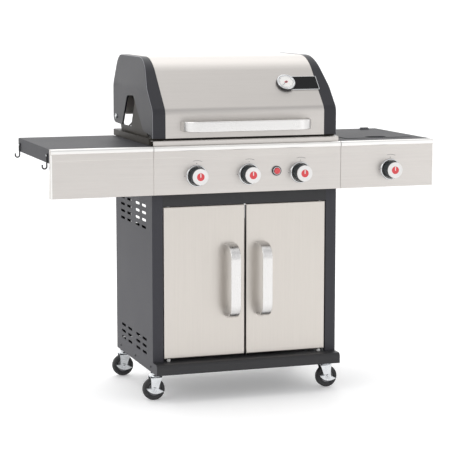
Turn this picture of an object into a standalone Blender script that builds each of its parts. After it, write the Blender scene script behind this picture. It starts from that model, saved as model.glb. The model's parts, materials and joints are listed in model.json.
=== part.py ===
"""Gas barbecue grill: cabinet cart on four casters, firebox with three burners, hood, two side shelves.

Units are metres. X runs to the right, Y to the back and Z up. The lengths below are given in the cart's
own frame: X = 0 is the cart's middle, Y = 0 the face of the control panel and Z = 0 the floor. Everything
hangs on one empty that shifts this frame, so that the origin is the bottom centre of the whole grill.
"""
import math

import bmesh
import bpy
from mathutils import Matrix, Vector

# ---- clearances and sheet thicknesses ----
GAP = 0.0003
RUNNING_GAP = 0.0003
SHEET = 0.0015

# ---- main sizes, which the others follow ----
CART_WIDTH = 0.655
CART_DEPTH = 0.4574
CART_FRONT = 0.034
WORKTOP = 0.863
SHELF_LENGTH = 0.345
HOOD_HEIGHT = 0.262
BURNER_SPACING = 0.183
WHEEL_RADIUS = 0.0375
CART_HALF = CART_WIDTH / 2
CART_BACK = CART_FRONT + CART_DEPTH

# ---- cart ----
CROWN_LOW = 2 * WHEEL_RADIUS + 0.005
BASE_BOTTOM = CROWN_LOW + 0.0206
BASE_TOP = BASE_BOTTOM + 0.0354
BASE_NOSE = 0.048
BASE_NOSE_RADIUS = 0.012
PANEL_BOTTOM = WORKTOP - 0.1605
SIDE_TOP = WORKTOP + 0.0002
POST_WIDTH = 0.037
POST_RETURN = 0.016
BACK_FLANGE = 0.024
BACK_PANEL_TOP = WORKTOP - 0.101
BACK_WINDOW_LOW = PANEL_BOTTOM - 0.155
BACK_WINDOW_HIGH = PANEL_BOTTOM - 0.0505

# ---- doors ----
DOOR_BOTTOM = BASE_TOP + 0.0085
DOOR_TOP = PANEL_BOTTOM - 0.044
DOOR_THICKNESS = 0.018
DOOR_MIDDLE_GAP = 0.006
DOOR_SIDE_GAP = 0.0025
DOOR_PIVOT_INSET = 0.018
DOOR_PIN_RADIUS = 0.003
DOOR_HANDLE_X = 0.056
DOOR_HANDLE_WIDTH = 0.035
DOOR_HANDLE_LENGTH = 0.237
DOOR_HANDLE_LOW = DOOR_BOTTOM + 0.1405
DOOR_HANDLE_HIGH = DOOR_HANDLE_LOW + DOOR_HANDLE_LENGTH
HANDLE_STAND_OFF = 0.062
HANDLE_BEND = 0.048
HANDLE_THICKNESS = 0.007

# ---- louvre slots: columns from the front, then (highest row, pitch, rows) ----
SLOT_LENGTH = 0.053
SLOT_HEIGHT = 0.009
SLOT_COLUMNS = tuple(CART_FRONT + share * CART_DEPTH for share in (0.2165, 0.3881, 0.6165, 0.7958))
UPPER_SLOTS = (DOOR_TOP - 0.0035, 0.0243, 4)
LOWER_SLOTS = (BASE_TOP + 0.064, 0.023, 3)

# ---- panels and shelves ----
PANEL_HALF = CART_HALF + 0.0025
SHELF_END = PANEL_HALF + SHELF_LENGTH
PANEL_ROLL = 0.008
PANEL_TOP_FLANGE = 0.014
PANEL_LOWER_LIP = 0.022
SHELF_BACK = CART_BACK + 0.0086
SHELF_SKIRT = 0.046
HOOK_Y = (0.040, SHELF_BACK - 0.035)
HOOK_WIRE = 0.0025
HOOK_BEND = 0.0075
HOOK_TOP = WORKTOP - 0.015
HOOK_LOW = HOOK_TOP - 0.042
HOOK_DISC = 0.006
HOOK_OUT = SHELF_END + GAP + 2 * HOOK_BEND + 2 * HOOK_WIRE

# ---- firebox ----
FIREBOX_HALF_WIDTH = CART_HALF - 0.0275
FIREBOX_FRONT = CART_FRONT + 0.051
FIREBOX_REAR = CART_BACK + 0.0116
FIREBOX_WALL = 0.0025
FIREBOX_SHOULDER = WORKTOP - 0.088
FIREBOX_FLOOR = FIREBOX_SHOULDER - 0.040
FIREBOX_RIM_FRONT = CART_FRONT + 0.014
FIREBOX_RIM_REAR = CART_BACK + 0.0276
FIREBOX_RIM_LOW = SIDE_TOP + GAP
FIREBOX_RIM_HIGH = FIREBOX_RIM_LOW + 0.0215
FUNNEL_HALF = 0.060
OUTLET_RADIUS = 0.020
CHEEK_X = FIREBOX_HALF_WIDTH + 0.008
CHEEK_TOP = 0.119
TRIM_HALF = PANEL_HALF - 0.003
TRIM_TOP = WORKTOP + 0.0165
TRIM_FRONT = PANEL_TOP_FLANGE + 0.002
TRIM_DEPTH = 0.030

# ---- burners and gas ----
BURNER_RADIUS = 0.0125
BURNER_BORE = BURNER_RADIUS - 0.0025
BURNER_END = FIREBOX_REAR - 0.033
BURNER_Z = FIREBOX_SHOULDER + 0.015
TAMER_WIDTH = 0.110
TAMER_LOW = BURNER_Z + 0.022
TAMER_HIGH = TAMER_LOW + 0.036
GRATE_LOW = TAMER_HIGH + 0.014
GRATE_THICKNESS = 0.010
GRATE_BAR = 0.007
GRATE_BARS = 11
RACK_LOW = FIREBOX_RIM_HIGH + 0.100
RACK_KNEE = FIREBOX_RIM_HIGH + 0.035
RACK_REAR = FIREBOX_REAR - 0.038
RACK_FRONT = RACK_REAR - 0.135
RACK_HALF_WIDTH = FIREBOX_HALF_WIDTH - 0.038
RACK_WIRE = 0.006
MANIFOLD_Y = 0.060
VALVE_Z = WORKTOP - 0.100
MANIFOLD_RADIUS = 0.007
VALVE_HALF = 0.013
VALVE_FRONT = 0.024
STEM_RADIUS = 0.004
STEM_TRAVEL = 0.004
KNOB_X = (-BURNER_SPACING, 0.0, BURNER_SPACING)
KNOB_FACE = 0.027
KNOB_SKIRT = KNOB_FACE + 0.002
KNOB_FRONT = 0.045
KNOB_BACK = STEM_TRAVEL + 0.0015
IGNITER_X = BURNER_SPACING / 2 + 0.006
IGNITER_Z = VALVE_Z + 0.008
IGNITER_BUTTON = 0.0105
IGNITER_BARREL = IGNITER_BUTTON + 0.002
IGNITER_FLANGE = IGNITER_BARREL + 0.004
TRAY_HALF_WIDTH = 0.190
TRAY_FRONT = CART_FRONT + 0.076
TRAY_HIGH = FIREBOX_FLOOR - 0.0205
TRAY_LOW = TRAY_HIGH - 0.0245
TRAY_RIM = 0.010

# ---- side burner ----
SIDE_BURNER_X = PANEL_HALF + SHELF_LENGTH / 2 + 0.0105
SIDE_OPENING_HALF = SHELF_LENGTH / 2 - 0.0475
SIDE_OPENING_FRONT = 0.095
SIDE_OPENING_REAR = SHELF_BACK - 0.065
SIDE_BOWL_FLOOR = WORKTOP - 0.063
SIDE_BOWL_RIM = WORKTOP - 0.017
SIDE_LID_TOP = WORKTOP + 0.0015
SIDE_LID_DEPTH = 0.016
SIDE_LID_PIVOT_Z = SIDE_LID_TOP + 0.0035
SIDE_LID_GAP = 0.001
GRIP_HOLE_HALF_LENGTH = 0.037
GRIP_HOLE_RADIUS = 0.020
GRIP_HOLE_Y = SIDE_OPENING_FRONT + 0.033
KNUCKLE_RADIUS = 0.004
SIDE_HEAD_RADIUS = 0.036
SIDE_GRATE_HALF = SIDE_OPENING_HALF - 0.020

# ---- hood ----
HOOD_HALF_WIDTH = PANEL_HALF - 0.0047
HOOD_CAP_WIDTH = 0.045
HOOD_BOTTOM = FIREBOX_RIM_HIGH + 0.001
HOOD_TOP = HOOD_BOTTOM + HOOD_HEIGHT
HOOD_FRONT = CART_FRONT - 0.003
HOOD_REAR = CART_BACK + 0.0346
HOOD_BREAK = HOOD_BOTTOM + 0.0903
HOOD_SLOPE = math.radians(46.5)
HOOD_REAR_EDGE = HOOD_BOTTOM + 0.049
HOOD_BREAK_RADIUS = 0.035
HOOD_BROW_RADIUS = 0.154
HOOD_BACK_RADIUS = 0.035
CAP_LEAN_FROM = HOOD_BOTTOM + 0.159
CAP_LEAN = 0.19
CAP_WALL = 0.0025
HOOD_PIVOT = (HOOD_REAR - 0.042, HOOD_BOTTOM + 0.046)
HOOD_PIN_RADIUS = 0.004
HOOD_PIN_HEAD = 0.008
HOOD_PIN_HEAD_LENGTH = 0.004
HOOD_HANDLE_HALF = HOOD_HALF_WIDTH - 0.0968
HOOD_HANDLE_LOW = HOOD_BOTTOM + 0.0225
HOOD_HANDLE_HEIGHT = 0.034
HANDLE_FACE = HOOD_FRONT - HANDLE_STAND_OFF
DIAL_X = HOOD_HALF_WIDTH - 0.1568
DIAL_RISE = 0.0795
DIAL_RADIUS = 0.033
DIAL_DEPTH = 0.012
BADGE_HALF_HEIGHT = 0.030
BADGE_END = HOOD_HALF_WIDTH - 0.0398
BADGE_DEPTH = 0.003

# ---- casters ----
WHEEL_WIDTH = 0.027
WHEEL_SIDES = 20
AXLE_RADIUS = 0.004
CASTER_X = CART_HALF - 0.0205
CASTER_TRAIL = 0.006
CASTER_Y = (CART_FRONT + 0.044, CART_BACK - 0.0174)
FORK_GAP = WHEEL_WIDTH + 0.003
FORK_SHEET = 0.0025
CROWN_RADIUS = 0.021
STEM_SOCKET = 0.011
CASTER_STEM_RADIUS = 0.005
BRAKE_HALF_LENGTH = 0.0295
BRAKE_WING = 0.008
BRAKE_TILT = math.radians(12)

# ---- from the cart's own frame to the middle of the whole grill ----
X_SHIFT = (HOOK_OUT - SHELF_END) / 2
Y_SHIFT = -(HOOD_REAR - KNOB_FRONT) / 2


# ---- outlines ----
def arc(centre, radius, start, end, count):
    """Points of a circular arc, angles in degrees, both ends included."""
    steps = [math.radians(start + (end - start) * i / (count - 1)) for i in range(count)]
    return [(centre[0] + radius * math.cos(a), centre[1] + radius * math.sin(a)) for a in steps]


def round_corners(corners, radii, count=5):
    """Open path through corners; each inner corner is replaced by an arc of its radius."""
    path = [corners[0]]
    for before, corner, after, radius in zip(corners, corners[1:], corners[2:], radii):
        here = Vector(corner)
        into = (Vector(before) - here).normalized()
        out = (Vector(after) - here).normalized()
        half = into.angle(out) / 2
        centre = here + (into + out).normalized() * (radius / math.sin(half))
        first = here + into * (radius / math.tan(half)) - centre
        last = here + out * (radius / math.tan(half)) - centre
        turn = first.angle_signed(last)
        for i in range(count):
            angle = -turn * i / (count - 1)
            path.append(tuple(centre + Matrix.Rotation(angle, 2) @ first))
    path.append(corners[-1])
    return path


def offset_path(path, distance):
    """The path moved sideways to its left by distance, with mitred corners."""
    moved = []
    for i, here in enumerate(path):
        sides = []
        if i > 0:
            sides.append((Vector(here) - Vector(path[i - 1])).normalized())
        if i < len(path) - 1:
            sides.append((Vector(path[i + 1]) - Vector(here)).normalized())
        normals = [Vector((-side.y, side.x)) for side in sides]
        middle = sum(normals, Vector((0, 0))).normalized()
        moved.append(tuple(Vector(here) + middle * (distance / middle.dot(normals[0]))))
    return moved


def thicken(path, thickness):
    """Closed outline of a sheet whose one face is path and whose metal lies to the path's left."""
    return path + offset_path(path, thickness)[::-1]


def rounded_rectangle(x_range, y_range, radius, z, corner_points=3):
    """Ring of 3D points, a level rectangle with round corners."""
    ring = []
    for x, y, start in ((x_range[1] - radius, y_range[1] - radius, 0),
                        (x_range[0] + radius, y_range[1] - radius, 90),
                        (x_range[0] + radius, y_range[0] + radius, 180),
                        (x_range[1] - radius, y_range[0] + radius, 270)):
        ring += [(px, py, z) for px, py in arc((x, y), radius, start, start + 90, corner_points)]
    return ring


def slot_outline(centre, half_length, half_height, end_points=3):
    """Slot with round ends, long along the first of its two axes."""
    reach = half_length - half_height
    right = arc((centre[0] + reach, centre[1]), half_height, -90, 90, end_points)
    left = arc((centre[0] - reach, centre[1]), half_height, 90, 270, end_points)
    return right + left


# ---- solids, as bmeshes in the cart's frame ----
def loft(rings):
    """Closed solid through a row of rings with equal point counts; first and last ring are filled."""
    bm = bmesh.new()
    rows = [[bm.verts.new(point) for point in ring] for ring in rings]
    bm.faces.new(rows[0])
    bm.faces.new(rows[-1])
    for row, following in zip(rows, rows[1:]):
        for i in range(len(row)):
            j = (i + 1) % len(row)
            bm.faces.new((row[i], row[j], following[j], following[i]))
    bmesh.ops.recalc_face_normals(bm, faces=bm.faces)
    return bm


def prism(outline, axis, low, high):
    """Outline, given in the two other axes in X, Y, Z order, carried along axis from low to high."""
    place = {"X": lambda p, level: (level, p[0], p[1]),
             "Y": lambda p, level: (p[0], level, p[1]),
             "Z": lambda p, level: (p[0], p[1], level)}[axis]
    return loft([[place(point, level) for point in outline] for level in (low, high)])


def box(x_range, y_range, z_range):
    """Plain box."""
    corners = [(x_range[0], y_range[0]), (x_range[1], y_range[0]),
               (x_range[1], y_range[1]), (x_range[0], y_range[1])]
    return prism(corners, "Z", *z_range)


def lathe(profile, centre, axis, sides, turn=0.0):
    """Solid turned about axis through centre from (radius, distance along the axis) pairs.

    A profile that begins and ends on the axis is capped there; any other profile is closed into a ring.
    """
    along, first, second = {"X": ((1, 0, 0), (0, 1, 0), (0, 0, 1)),
                            "Y": ((0, 1, 0), (0, 0, 1), (1, 0, 0)),
                            "Z": ((0, 0, 1), (1, 0, 0), (0, 1, 0))}[axis]
    along, first, second, centre = Vector(along), Vector(first), Vector(second), Vector(centre)
    bm = bmesh.new()
    rows = []
    for radius, distance in profile:
        base = centre + along * distance
        if radius == 0.0:
            rows.append([bm.verts.new(base)])
            continue
        angles = [turn + 2 * math.pi * i / sides for i in range(sides)]
        rows.append([bm.verts.new(base + radius * (math.cos(a) * first + math.sin(a) * second))
                     for a in angles])
    pairs = list(zip(rows, rows[1:]))
    if len(rows[0]) > 1:
        pairs.append((rows[-1], rows[0]))
    for low, high in pairs:
        for i in range(sides):
            j = (i + 1) % sides
            corners = [low[0]] if len(low) == 1 else [low[i], low[j]]
            corners += [high[0]] if len(high) == 1 else [high[j], high[i]]
            bm.faces.new(corners)
    bmesh.ops.recalc_face_normals(bm, faces=bm.faces)
    return bm


def rod(centre, axis, radius, low, high, sides=12, turn=0.0):
    """Cylinder about axis through centre, from low to high along that axis."""
    return lathe([(0.0, low), (radius, low), (radius, high), (0.0, high)], centre, axis, sides, turn)


def sweep(points, radius, sides=8):
    """Round wire along a row of 3D points that all lie in one plane across Y."""
    points = [Vector(point) for point in points]
    rings = []
    for i, here in enumerate(points):
        ahead = points[min(i + 1, len(points) - 1)] - points[max(i - 1, 0)]
        across = Vector((0, 1, 0))
        upward = ahead.normalized().cross(across)
        angles = [2 * math.pi * k / sides for k in range(sides)]
        rings.append([here + radius * (math.cos(a) * across + math.sin(a) * upward) for a in angles])
    return loft(rings)


def slab_with_bars(x_edges, y_edges, is_open, z_range):
    """Flat grille: the cells of a grid, less those that is_open(column, row) names, given a thickness."""
    bm = bmesh.new()
    corners = [[bm.verts.new((x, y, z_range[0])) for y in y_edges] for x in x_edges]
    for i in range(len(x_edges) - 1):
        for j in range(len(y_edges) - 1):
            if not is_open(i, j):
                bm.faces.new((corners[i][j], corners[i + 1][j], corners[i + 1][j + 1], corners[i][j + 1]))
    raised = bmesh.ops.extrude_face_region(bm, geom=bm.faces[:] + bm.edges[:] + bm.verts[:],
                                           use_keep_orig=True)
    lifted = [item for item in raised["geom"] if isinstance(item, bmesh.types.BMVert)]
    bmesh.ops.translate(bm, verts=lifted, vec=(0, 0, z_range[1] - z_range[0]))
    bmesh.ops.recalc_face_normals(bm, faces=bm.faces)
    return bm


def joined(pieces):
    """Several bmeshes in one, left as separate bodies; for tools that cut in many places."""
    whole = bmesh.new()
    for piece in pieces:
        shape = bpy.data.meshes.new("shape")
        piece.to_mesh(shape)
        piece.free()
        whole.from_mesh(shape)
        bpy.data.meshes.remove(shape)
    return whole


# ---- objects ----
MATERIALS = {
    "stainless": ((0.66, 0.64, 0.62), 0.32, 1.0),
    "bright_steel": ((0.80, 0.79, 0.78), 0.25, 1.0),
    "black_powder_coat": ((0.055, 0.055, 0.057), 0.50, 0.0),
    "slate_enamel": ((0.085, 0.085, 0.095), 0.35, 0.0),
    "firebox_enamel": ((0.045, 0.038, 0.030), 0.45, 0.0),
    "cast_iron": ((0.030, 0.030, 0.030), 0.60, 0.3),
    "zinc": ((0.72, 0.74, 0.75), 0.35, 1.0),
    "rubber": ((0.025, 0.025, 0.025), 0.70, 0.0),
    "brass": ((0.60, 0.45, 0.20), 0.35, 1.0),
    "dial": ((0.10, 0.10, 0.10), 0.30, 0.0),
    "red_button": ((0.60, 0.03, 0.03), 0.35, 0.0),
    "black_plastic": ((0.02, 0.02, 0.02), 0.40, 0.0),
}


def make_materials():
    """One Principled material for each finish."""
    for name, (colour, roughness, metallic) in MATERIALS.items():
        finish = bpy.data.materials.new(name)
        finish.use_nodes = True
        shader = finish.node_tree.nodes["Principled BSDF"]
        shader.inputs["Base Color"].default_value = (*colour, 1.0)
        shader.inputs["Roughness"].default_value = roughness
        shader.inputs["Metallic"].default_value = metallic


def piece(name, bm, finish):
    """Object from a bmesh in the cart's frame."""
    mesh = bpy.data.meshes.new(name)
    bm.to_mesh(mesh)
    bm.free()
    made = bpy.data.objects.new(name, mesh)
    made.data.materials.append(bpy.data.materials[finish])
    bpy.context.scene.collection.objects.link(made)
    return made


def combine(target, bm, operation):
    """Join the bmesh to the object, or cut it away, and keep the result as the object's mesh."""
    tool = piece("tool", bm, "zinc")
    modifier = target.modifiers.new("shape", "BOOLEAN")
    modifier.operation = operation
    modifier.object = tool
    graph = bpy.context.evaluated_depsgraph_get()
    shaped = bpy.data.meshes.new_from_object(target.evaluated_get(graph))
    target.modifiers.clear()
    finish = target.data.materials[0]
    target.data = shaped
    target.data.materials.clear()
    target.data.materials.append(finish)
    bpy.data.objects.remove(tool)
    return target


def add(target, *shapes):
    """Union the shapes to the object one after another."""
    for bm in shapes:
        combine(target, bm, "UNION")
    return target


def cut(target, *shapes):
    """Cut all the shapes from the object at once; they must not meet each other."""
    return combine(target, joined(shapes), "DIFFERENCE")


def pivot(name, parent, position):
    """Empty on a joint's axis, at a place in the cart's frame."""
    empty = bpy.data.objects.new(name, None)
    bpy.context.scene.collection.objects.link(empty)
    empty["cart_place"] = position
    if parent is None:
        empty.location = position
    else:
        empty.parent = parent
        empty.location = Vector(position) - Vector(parent["cart_place"])
    return empty


def attach(made, parent):
    """Give the object its parent's place as origin, without moving its shape, and hang it there."""
    place = Vector(parent["cart_place"])
    made.data.transform(Matrix.Translation(-place))
    made.data.shade_smooth()
    made.data.set_sharp_from_angle(angle=math.radians(35))
    made.parent = parent
    return made


# ---- cart ----
def base_tray(cart):
    """Folded base with a bull-nosed front rail, an open underside and four caster sockets."""
    inner_half = CART_HALF - SHEET - GAP
    nose = CART_FRONT - BASE_NOSE
    back = CART_BACK - SHEET
    path = round_corners([(back, BASE_BOTTOM), (back, BASE_TOP), (nose, BASE_TOP), (nose, BASE_BOTTOM)],
                         (0.003, BASE_NOSE_RADIUS))
    tray = piece("base_tray", prism(thicken(path, SHEET), "X", -inner_half, inner_half),
                 "black_powder_coat")
    sockets = [rod((x, y, 0), "Z", STEM_SOCKET, BASE_BOTTOM, BASE_TOP - SHEET / 2)
               for x in (-CASTER_X, CASTER_X) for y in CASTER_Y]
    add(tray, *sockets)
    bores = [rod((x, y, 0), "Z", CASTER_STEM_RADIUS + RUNNING_GAP, BASE_BOTTOM - 0.01, BASE_TOP - 0.006)
             for x in (-CASTER_X, CASTER_X) for y in CASTER_Y]
    pins = [rod((side * door_pivot_x(), door_pivot_y(), 0), "Z", DOOR_PIN_RADIUS + RUNNING_GAP,
                BASE_TOP - 0.01, BASE_TOP + 0.01, sides=12) for side in (-1, 1)]
    cut(tray, *bores, *pins)
    return attach(tray, cart)


def side_panel(name, side, cart):
    """Folded side sheet: louvred web with a foot over the base's nose, front post and rear flange."""
    outer = side * CART_HALF
    inner = side * (CART_HALF - SHEET)
    post_inner = side * (CART_HALF - POST_WIDTH)
    nose = CART_FRONT - BASE_NOSE
    web = round_corners([(CART_BACK, BASE_BOTTOM), (CART_BACK, SIDE_TOP), (CART_FRONT, SIDE_TOP)],
                        (0.004,)) + round_corners(
        [(CART_FRONT, BASE_TOP), (nose, BASE_TOP), (nose, BASE_BOTTOM)], (BASE_NOSE_RADIUS,))
    panel = piece(name, prism(web, "X", *sorted((outer, inner))), "black_powder_coat")
    lip_inner = post_inner + side * SHEET
    post = [(outer, CART_FRONT), (post_inner, CART_FRONT), (post_inner, CART_FRONT + POST_RETURN),
            (lip_inner, CART_FRONT + POST_RETURN), (lip_inner, CART_FRONT + SHEET),
            (outer, CART_FRONT + SHEET)]
    rear = [(outer, CART_BACK - SHEET), (outer, CART_BACK), (outer - side * BACK_FLANGE, CART_BACK),
            (outer - side * BACK_FLANGE, CART_BACK - SHEET)]
    add(panel, prism(post, "Z", BASE_TOP + GAP, SIDE_TOP), prism(rear, "Z", BASE_TOP + GAP, SIDE_TOP))
    reach = sorted((outer + side * 0.01, inner - side * 0.01))
    slots = []
    for top, pitch, rows in (UPPER_SLOTS, LOWER_SLOTS):
        for row in range(rows):
            for column in SLOT_COLUMNS:
                outline = slot_outline((column, top - row * pitch), SLOT_LENGTH / 2, SLOT_HEIGHT / 2)
                slots.append(prism(outline, "X", *reach))
    if side > 0:
        slots.append(rod((0, MANIFOLD_Y, VALVE_Z), "X", MANIFOLD_RADIUS + 0.003, *reach))
    cut(panel, *slots)
    return attach(panel, cart)


def back_panel(cart):
    """Rear sheet, open above its lower half, with the two runners of the grease tray."""
    half = CART_HALF - BACK_FLANGE - GAP
    face = (CART_BACK - SHEET, CART_BACK)
    panel = piece("back_panel", box((-half, half), face, (BASE_TOP + GAP, BACK_PANEL_TOP)),
                  "black_powder_coat")
    runner_top = TRAY_HIGH - SHEET - GAP
    slide = TRAY_HALF_WIDTH + TRAY_RIM
    reach = (TRAY_FRONT, CART_BACK - SHEET / 2)
    for side in (-1, 1):
        wall = side * (slide + GAP)
        runner = [(side * (TRAY_HALF_WIDTH + 0.001), runner_top), (wall, runner_top),
                  (wall, TRAY_HIGH + 0.004), (wall + side * SHEET, TRAY_HIGH + 0.004),
                  (wall + side * SHEET, runner_top - SHEET),
                  (side * (TRAY_HALF_WIDTH + 0.001), runner_top - SHEET)]
        add(panel, prism(runner, "Y", *reach))
    through = (CART_BACK - 0.01, CART_BACK + 0.01)
    mouth = [(-slide - GAP, runner_top), (-TRAY_HALF_WIDTH - 0.001, runner_top),
             (-TRAY_HALF_WIDTH - 0.001, TRAY_LOW - 0.003), (TRAY_HALF_WIDTH + 0.001, TRAY_LOW - 0.003),
             (TRAY_HALF_WIDTH + 0.001, runner_top), (slide + GAP, runner_top),
             (slide + GAP, TRAY_HIGH + 0.003), (-slide - GAP, TRAY_HIGH + 0.003)]
    cut(panel, prism(mouth, "Y", *through),
        box((-half + 0.030, half - 0.030), through, (BACK_WINDOW_LOW, BACK_WINDOW_HIGH)))
    return attach(panel, cart)


def front_rail(cart):
    """Channel between the posts over the doors; its lower flange takes the doors' upper pins."""
    half = CART_HALF - POST_WIDTH - GAP
    depth = CART_FRONT + 0.024
    low = DOOR_TOP + 0.0015
    path = [(depth, low), (CART_FRONT, low), (CART_FRONT, PANEL_BOTTOM + 0.018),
            (depth, PANEL_BOTTOM + 0.018)]
    rail = piece("front_rail", prism(thicken(path, -SHEET), "X", -half, half), "black_powder_coat")
    cut(rail, *[rod((side * door_pivot_x(), door_pivot_y(), 0), "Z", DOOR_PIN_RADIUS + RUNNING_GAP,
                    low - 0.01, low + 0.01, sides=12) for side in (-1, 1)])
    return attach(rail, cart)


# ---- doors ----
def door_pivot_x():
    """Distance of a door's hinge axis from the middle."""
    return CART_HALF - POST_WIDTH - DOOR_SIDE_GAP - DOOR_PIVOT_INSET


def door_pivot_y():
    """Depth of a door's hinge axis, in the middle of its thickness."""
    return CART_FRONT + DOOR_THICKNESS / 2


def door(name, side, hinge):
    """Pan-shaped door, open at the back, with a pivot pin at its top and bottom."""
    x_range = sorted((side * DOOR_MIDDLE_GAP / 2, side * (CART_HALF - POST_WIDTH - DOOR_SIDE_GAP)))
    front, back = CART_FRONT, CART_FRONT + DOOR_THICKNESS

    def ring(inset, y):
        x0, x1 = x_range[0] + inset, x_range[1] - inset
        z0, z1 = DOOR_BOTTOM + inset, DOOR_TOP - inset
        return [(x0, y, z0), (x1, y, z0), (x1, y, z1), (x0, y, z1)]

    pan = piece(name, loft([ring(0, front), ring(0, back), ring(SHEET, back), ring(SHEET, front + SHEET)]),
                "stainless")
    place = (side * door_pivot_x(), door_pivot_y(), 0)
    add(pan, rod(place, "Z", DOOR_PIN_RADIUS, DOOR_TOP - 0.012, DOOR_TOP + 0.008, sides=12),
        rod(place, "Z", DOOR_PIN_RADIUS, BASE_TOP - 0.005, DOOR_BOTTOM + 0.012, sides=12))
    return attach(pan, hinge)


def bow(ends, foot, face):
    """Outline of a bow handle: feet at foot, grip at face, with two large bends."""
    path = round_corners([(ends[0], foot), (ends[0], face), (ends[1], face), (ends[1], foot)],
                         (HANDLE_BEND, HANDLE_BEND), count=7)
    return thicken(path, HANDLE_THICKNESS)


def door_handle(name, side, hinge):
    """Upright bow handle near the door's free edge."""
    outline = bow((DOOR_HANDLE_HIGH, DOOR_HANDLE_LOW), CART_FRONT - GAP, CART_FRONT - HANDLE_STAND_OFF)
    turned = [(y, z) for z, y in outline]
    x_range = sorted((side * (DOOR_HANDLE_X - DOOR_HANDLE_WIDTH / 2),
                      side * (DOOR_HANDLE_X + DOOR_HANDLE_WIDTH / 2)))
    return attach(piece(name, prism(turned, "X", *x_range), "bright_steel"), hinge)


# ---- panels, shelves, hooks ----
def panel_outline():
    """Section of the front panels: lower lip, face, rolled top edge and top flange."""
    path = round_corners([(PANEL_LOWER_LIP, PANEL_BOTTOM), (0, PANEL_BOTTOM), (0, WORKTOP),
                          (PANEL_TOP_FLANGE, WORKTOP)], (0.002, PANEL_ROLL))
    return thicken(path, -SHEET)


def fascia(name, side, cart):
    """Front panel of a side shelf, closed by a plate at its outer end."""
    inner, outer = PANEL_HALF + GAP, SHELF_END
    panel = piece(name, prism(panel_outline(), "X", *sorted((side * inner, side * outer))), "stainless")
    plate = round_corners([(PANEL_LOWER_LIP, PANEL_BOTTOM), (0, PANEL_BOTTOM), (0, WORKTOP),
                           (PANEL_TOP_FLANGE, WORKTOP)], (0.002, PANEL_ROLL))
    plate += [(PANEL_TOP_FLANGE, WORKTOP - SHELF_SKIRT - 0.02), (PANEL_LOWER_LIP, PANEL_BOTTOM + 0.02)]
    add(panel, prism(plate, "X", *sorted((side * outer, side * (outer - SHEET)))))
    if side > 0:
        cut(panel, rod((SIDE_BURNER_X, 0, VALVE_Z), "Y", STEM_RADIUS + 0.002, -0.01, 0.01))
    return attach(panel, cart)


def control_panel(cart):
    """Middle front panel with holes for the three valve stems and the igniter."""
    panel = piece("control_panel", prism(panel_outline(), "X", -PANEL_HALF, PANEL_HALF), "stainless")
    holes = [rod((x, 0, VALVE_Z), "Y", STEM_RADIUS + 0.002, -0.01, 0.01) for x in KNOB_X]
    holes.append(rod((IGNITER_X, 0, IGNITER_Z), "Y", IGNITER_BARREL + GAP, -0.01, 0.01, sides=16))
    cut(panel, *holes)
    return attach(panel, cart)


def shelf(name, side, cart):
    """Shelf top with a folded skirt on all four sides, open below."""
    low, high = WORKTOP - SHELF_SKIRT, WORKTOP
    x_range = sorted((side * (PANEL_HALF + 2 * GAP), side * SHELF_END))
    y_range = (PANEL_TOP_FLANGE + GAP, SHELF_BACK)

    def ring(inset, z):
        return rounded_rectangle((x_range[0] + inset, x_range[1] - inset),
                                 (y_range[0] + inset, y_range[1] - inset), 0.006 - inset, z)

    top = piece(name, loft([ring(0, high), ring(0, low), ring(SHEET, low), ring(SHEET, high - SHEET)]),
                "black_powder_coat")
    if side > 0:
        opening_x = (SIDE_BURNER_X - SIDE_OPENING_HALF, SIDE_BURNER_X + SIDE_OPENING_HALF)
        cut(top, box(opening_x, (SIDE_OPENING_FRONT, SIDE_OPENING_REAR), (high - 0.01, high + 0.01)))
    return attach(top, cart)


def hook(name, y, cart):
    """Wire hook with a flat disc, screwed on the left shelf's end."""
    x = -SHELF_END - GAP - HOOK_WIRE
    bend = arc((x - HOOK_BEND, HOOK_LOW), HOOK_BEND, 0, -180, 7)
    route = [(x, HOOK_TOP)] + bend + [(x - 2 * HOOK_BEND, HOOK_LOW + 0.006)]
    wire = piece(name, sweep([(px, y, pz) for px, pz in route], HOOK_WIRE), "black_powder_coat")
    add(wire, rod((x, y, HOOK_TOP - HOOK_DISC), "X", HOOK_DISC, -HOOK_WIRE * 0.8, HOOK_WIRE * 0.8))
    return attach(wire, cart)


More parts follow.
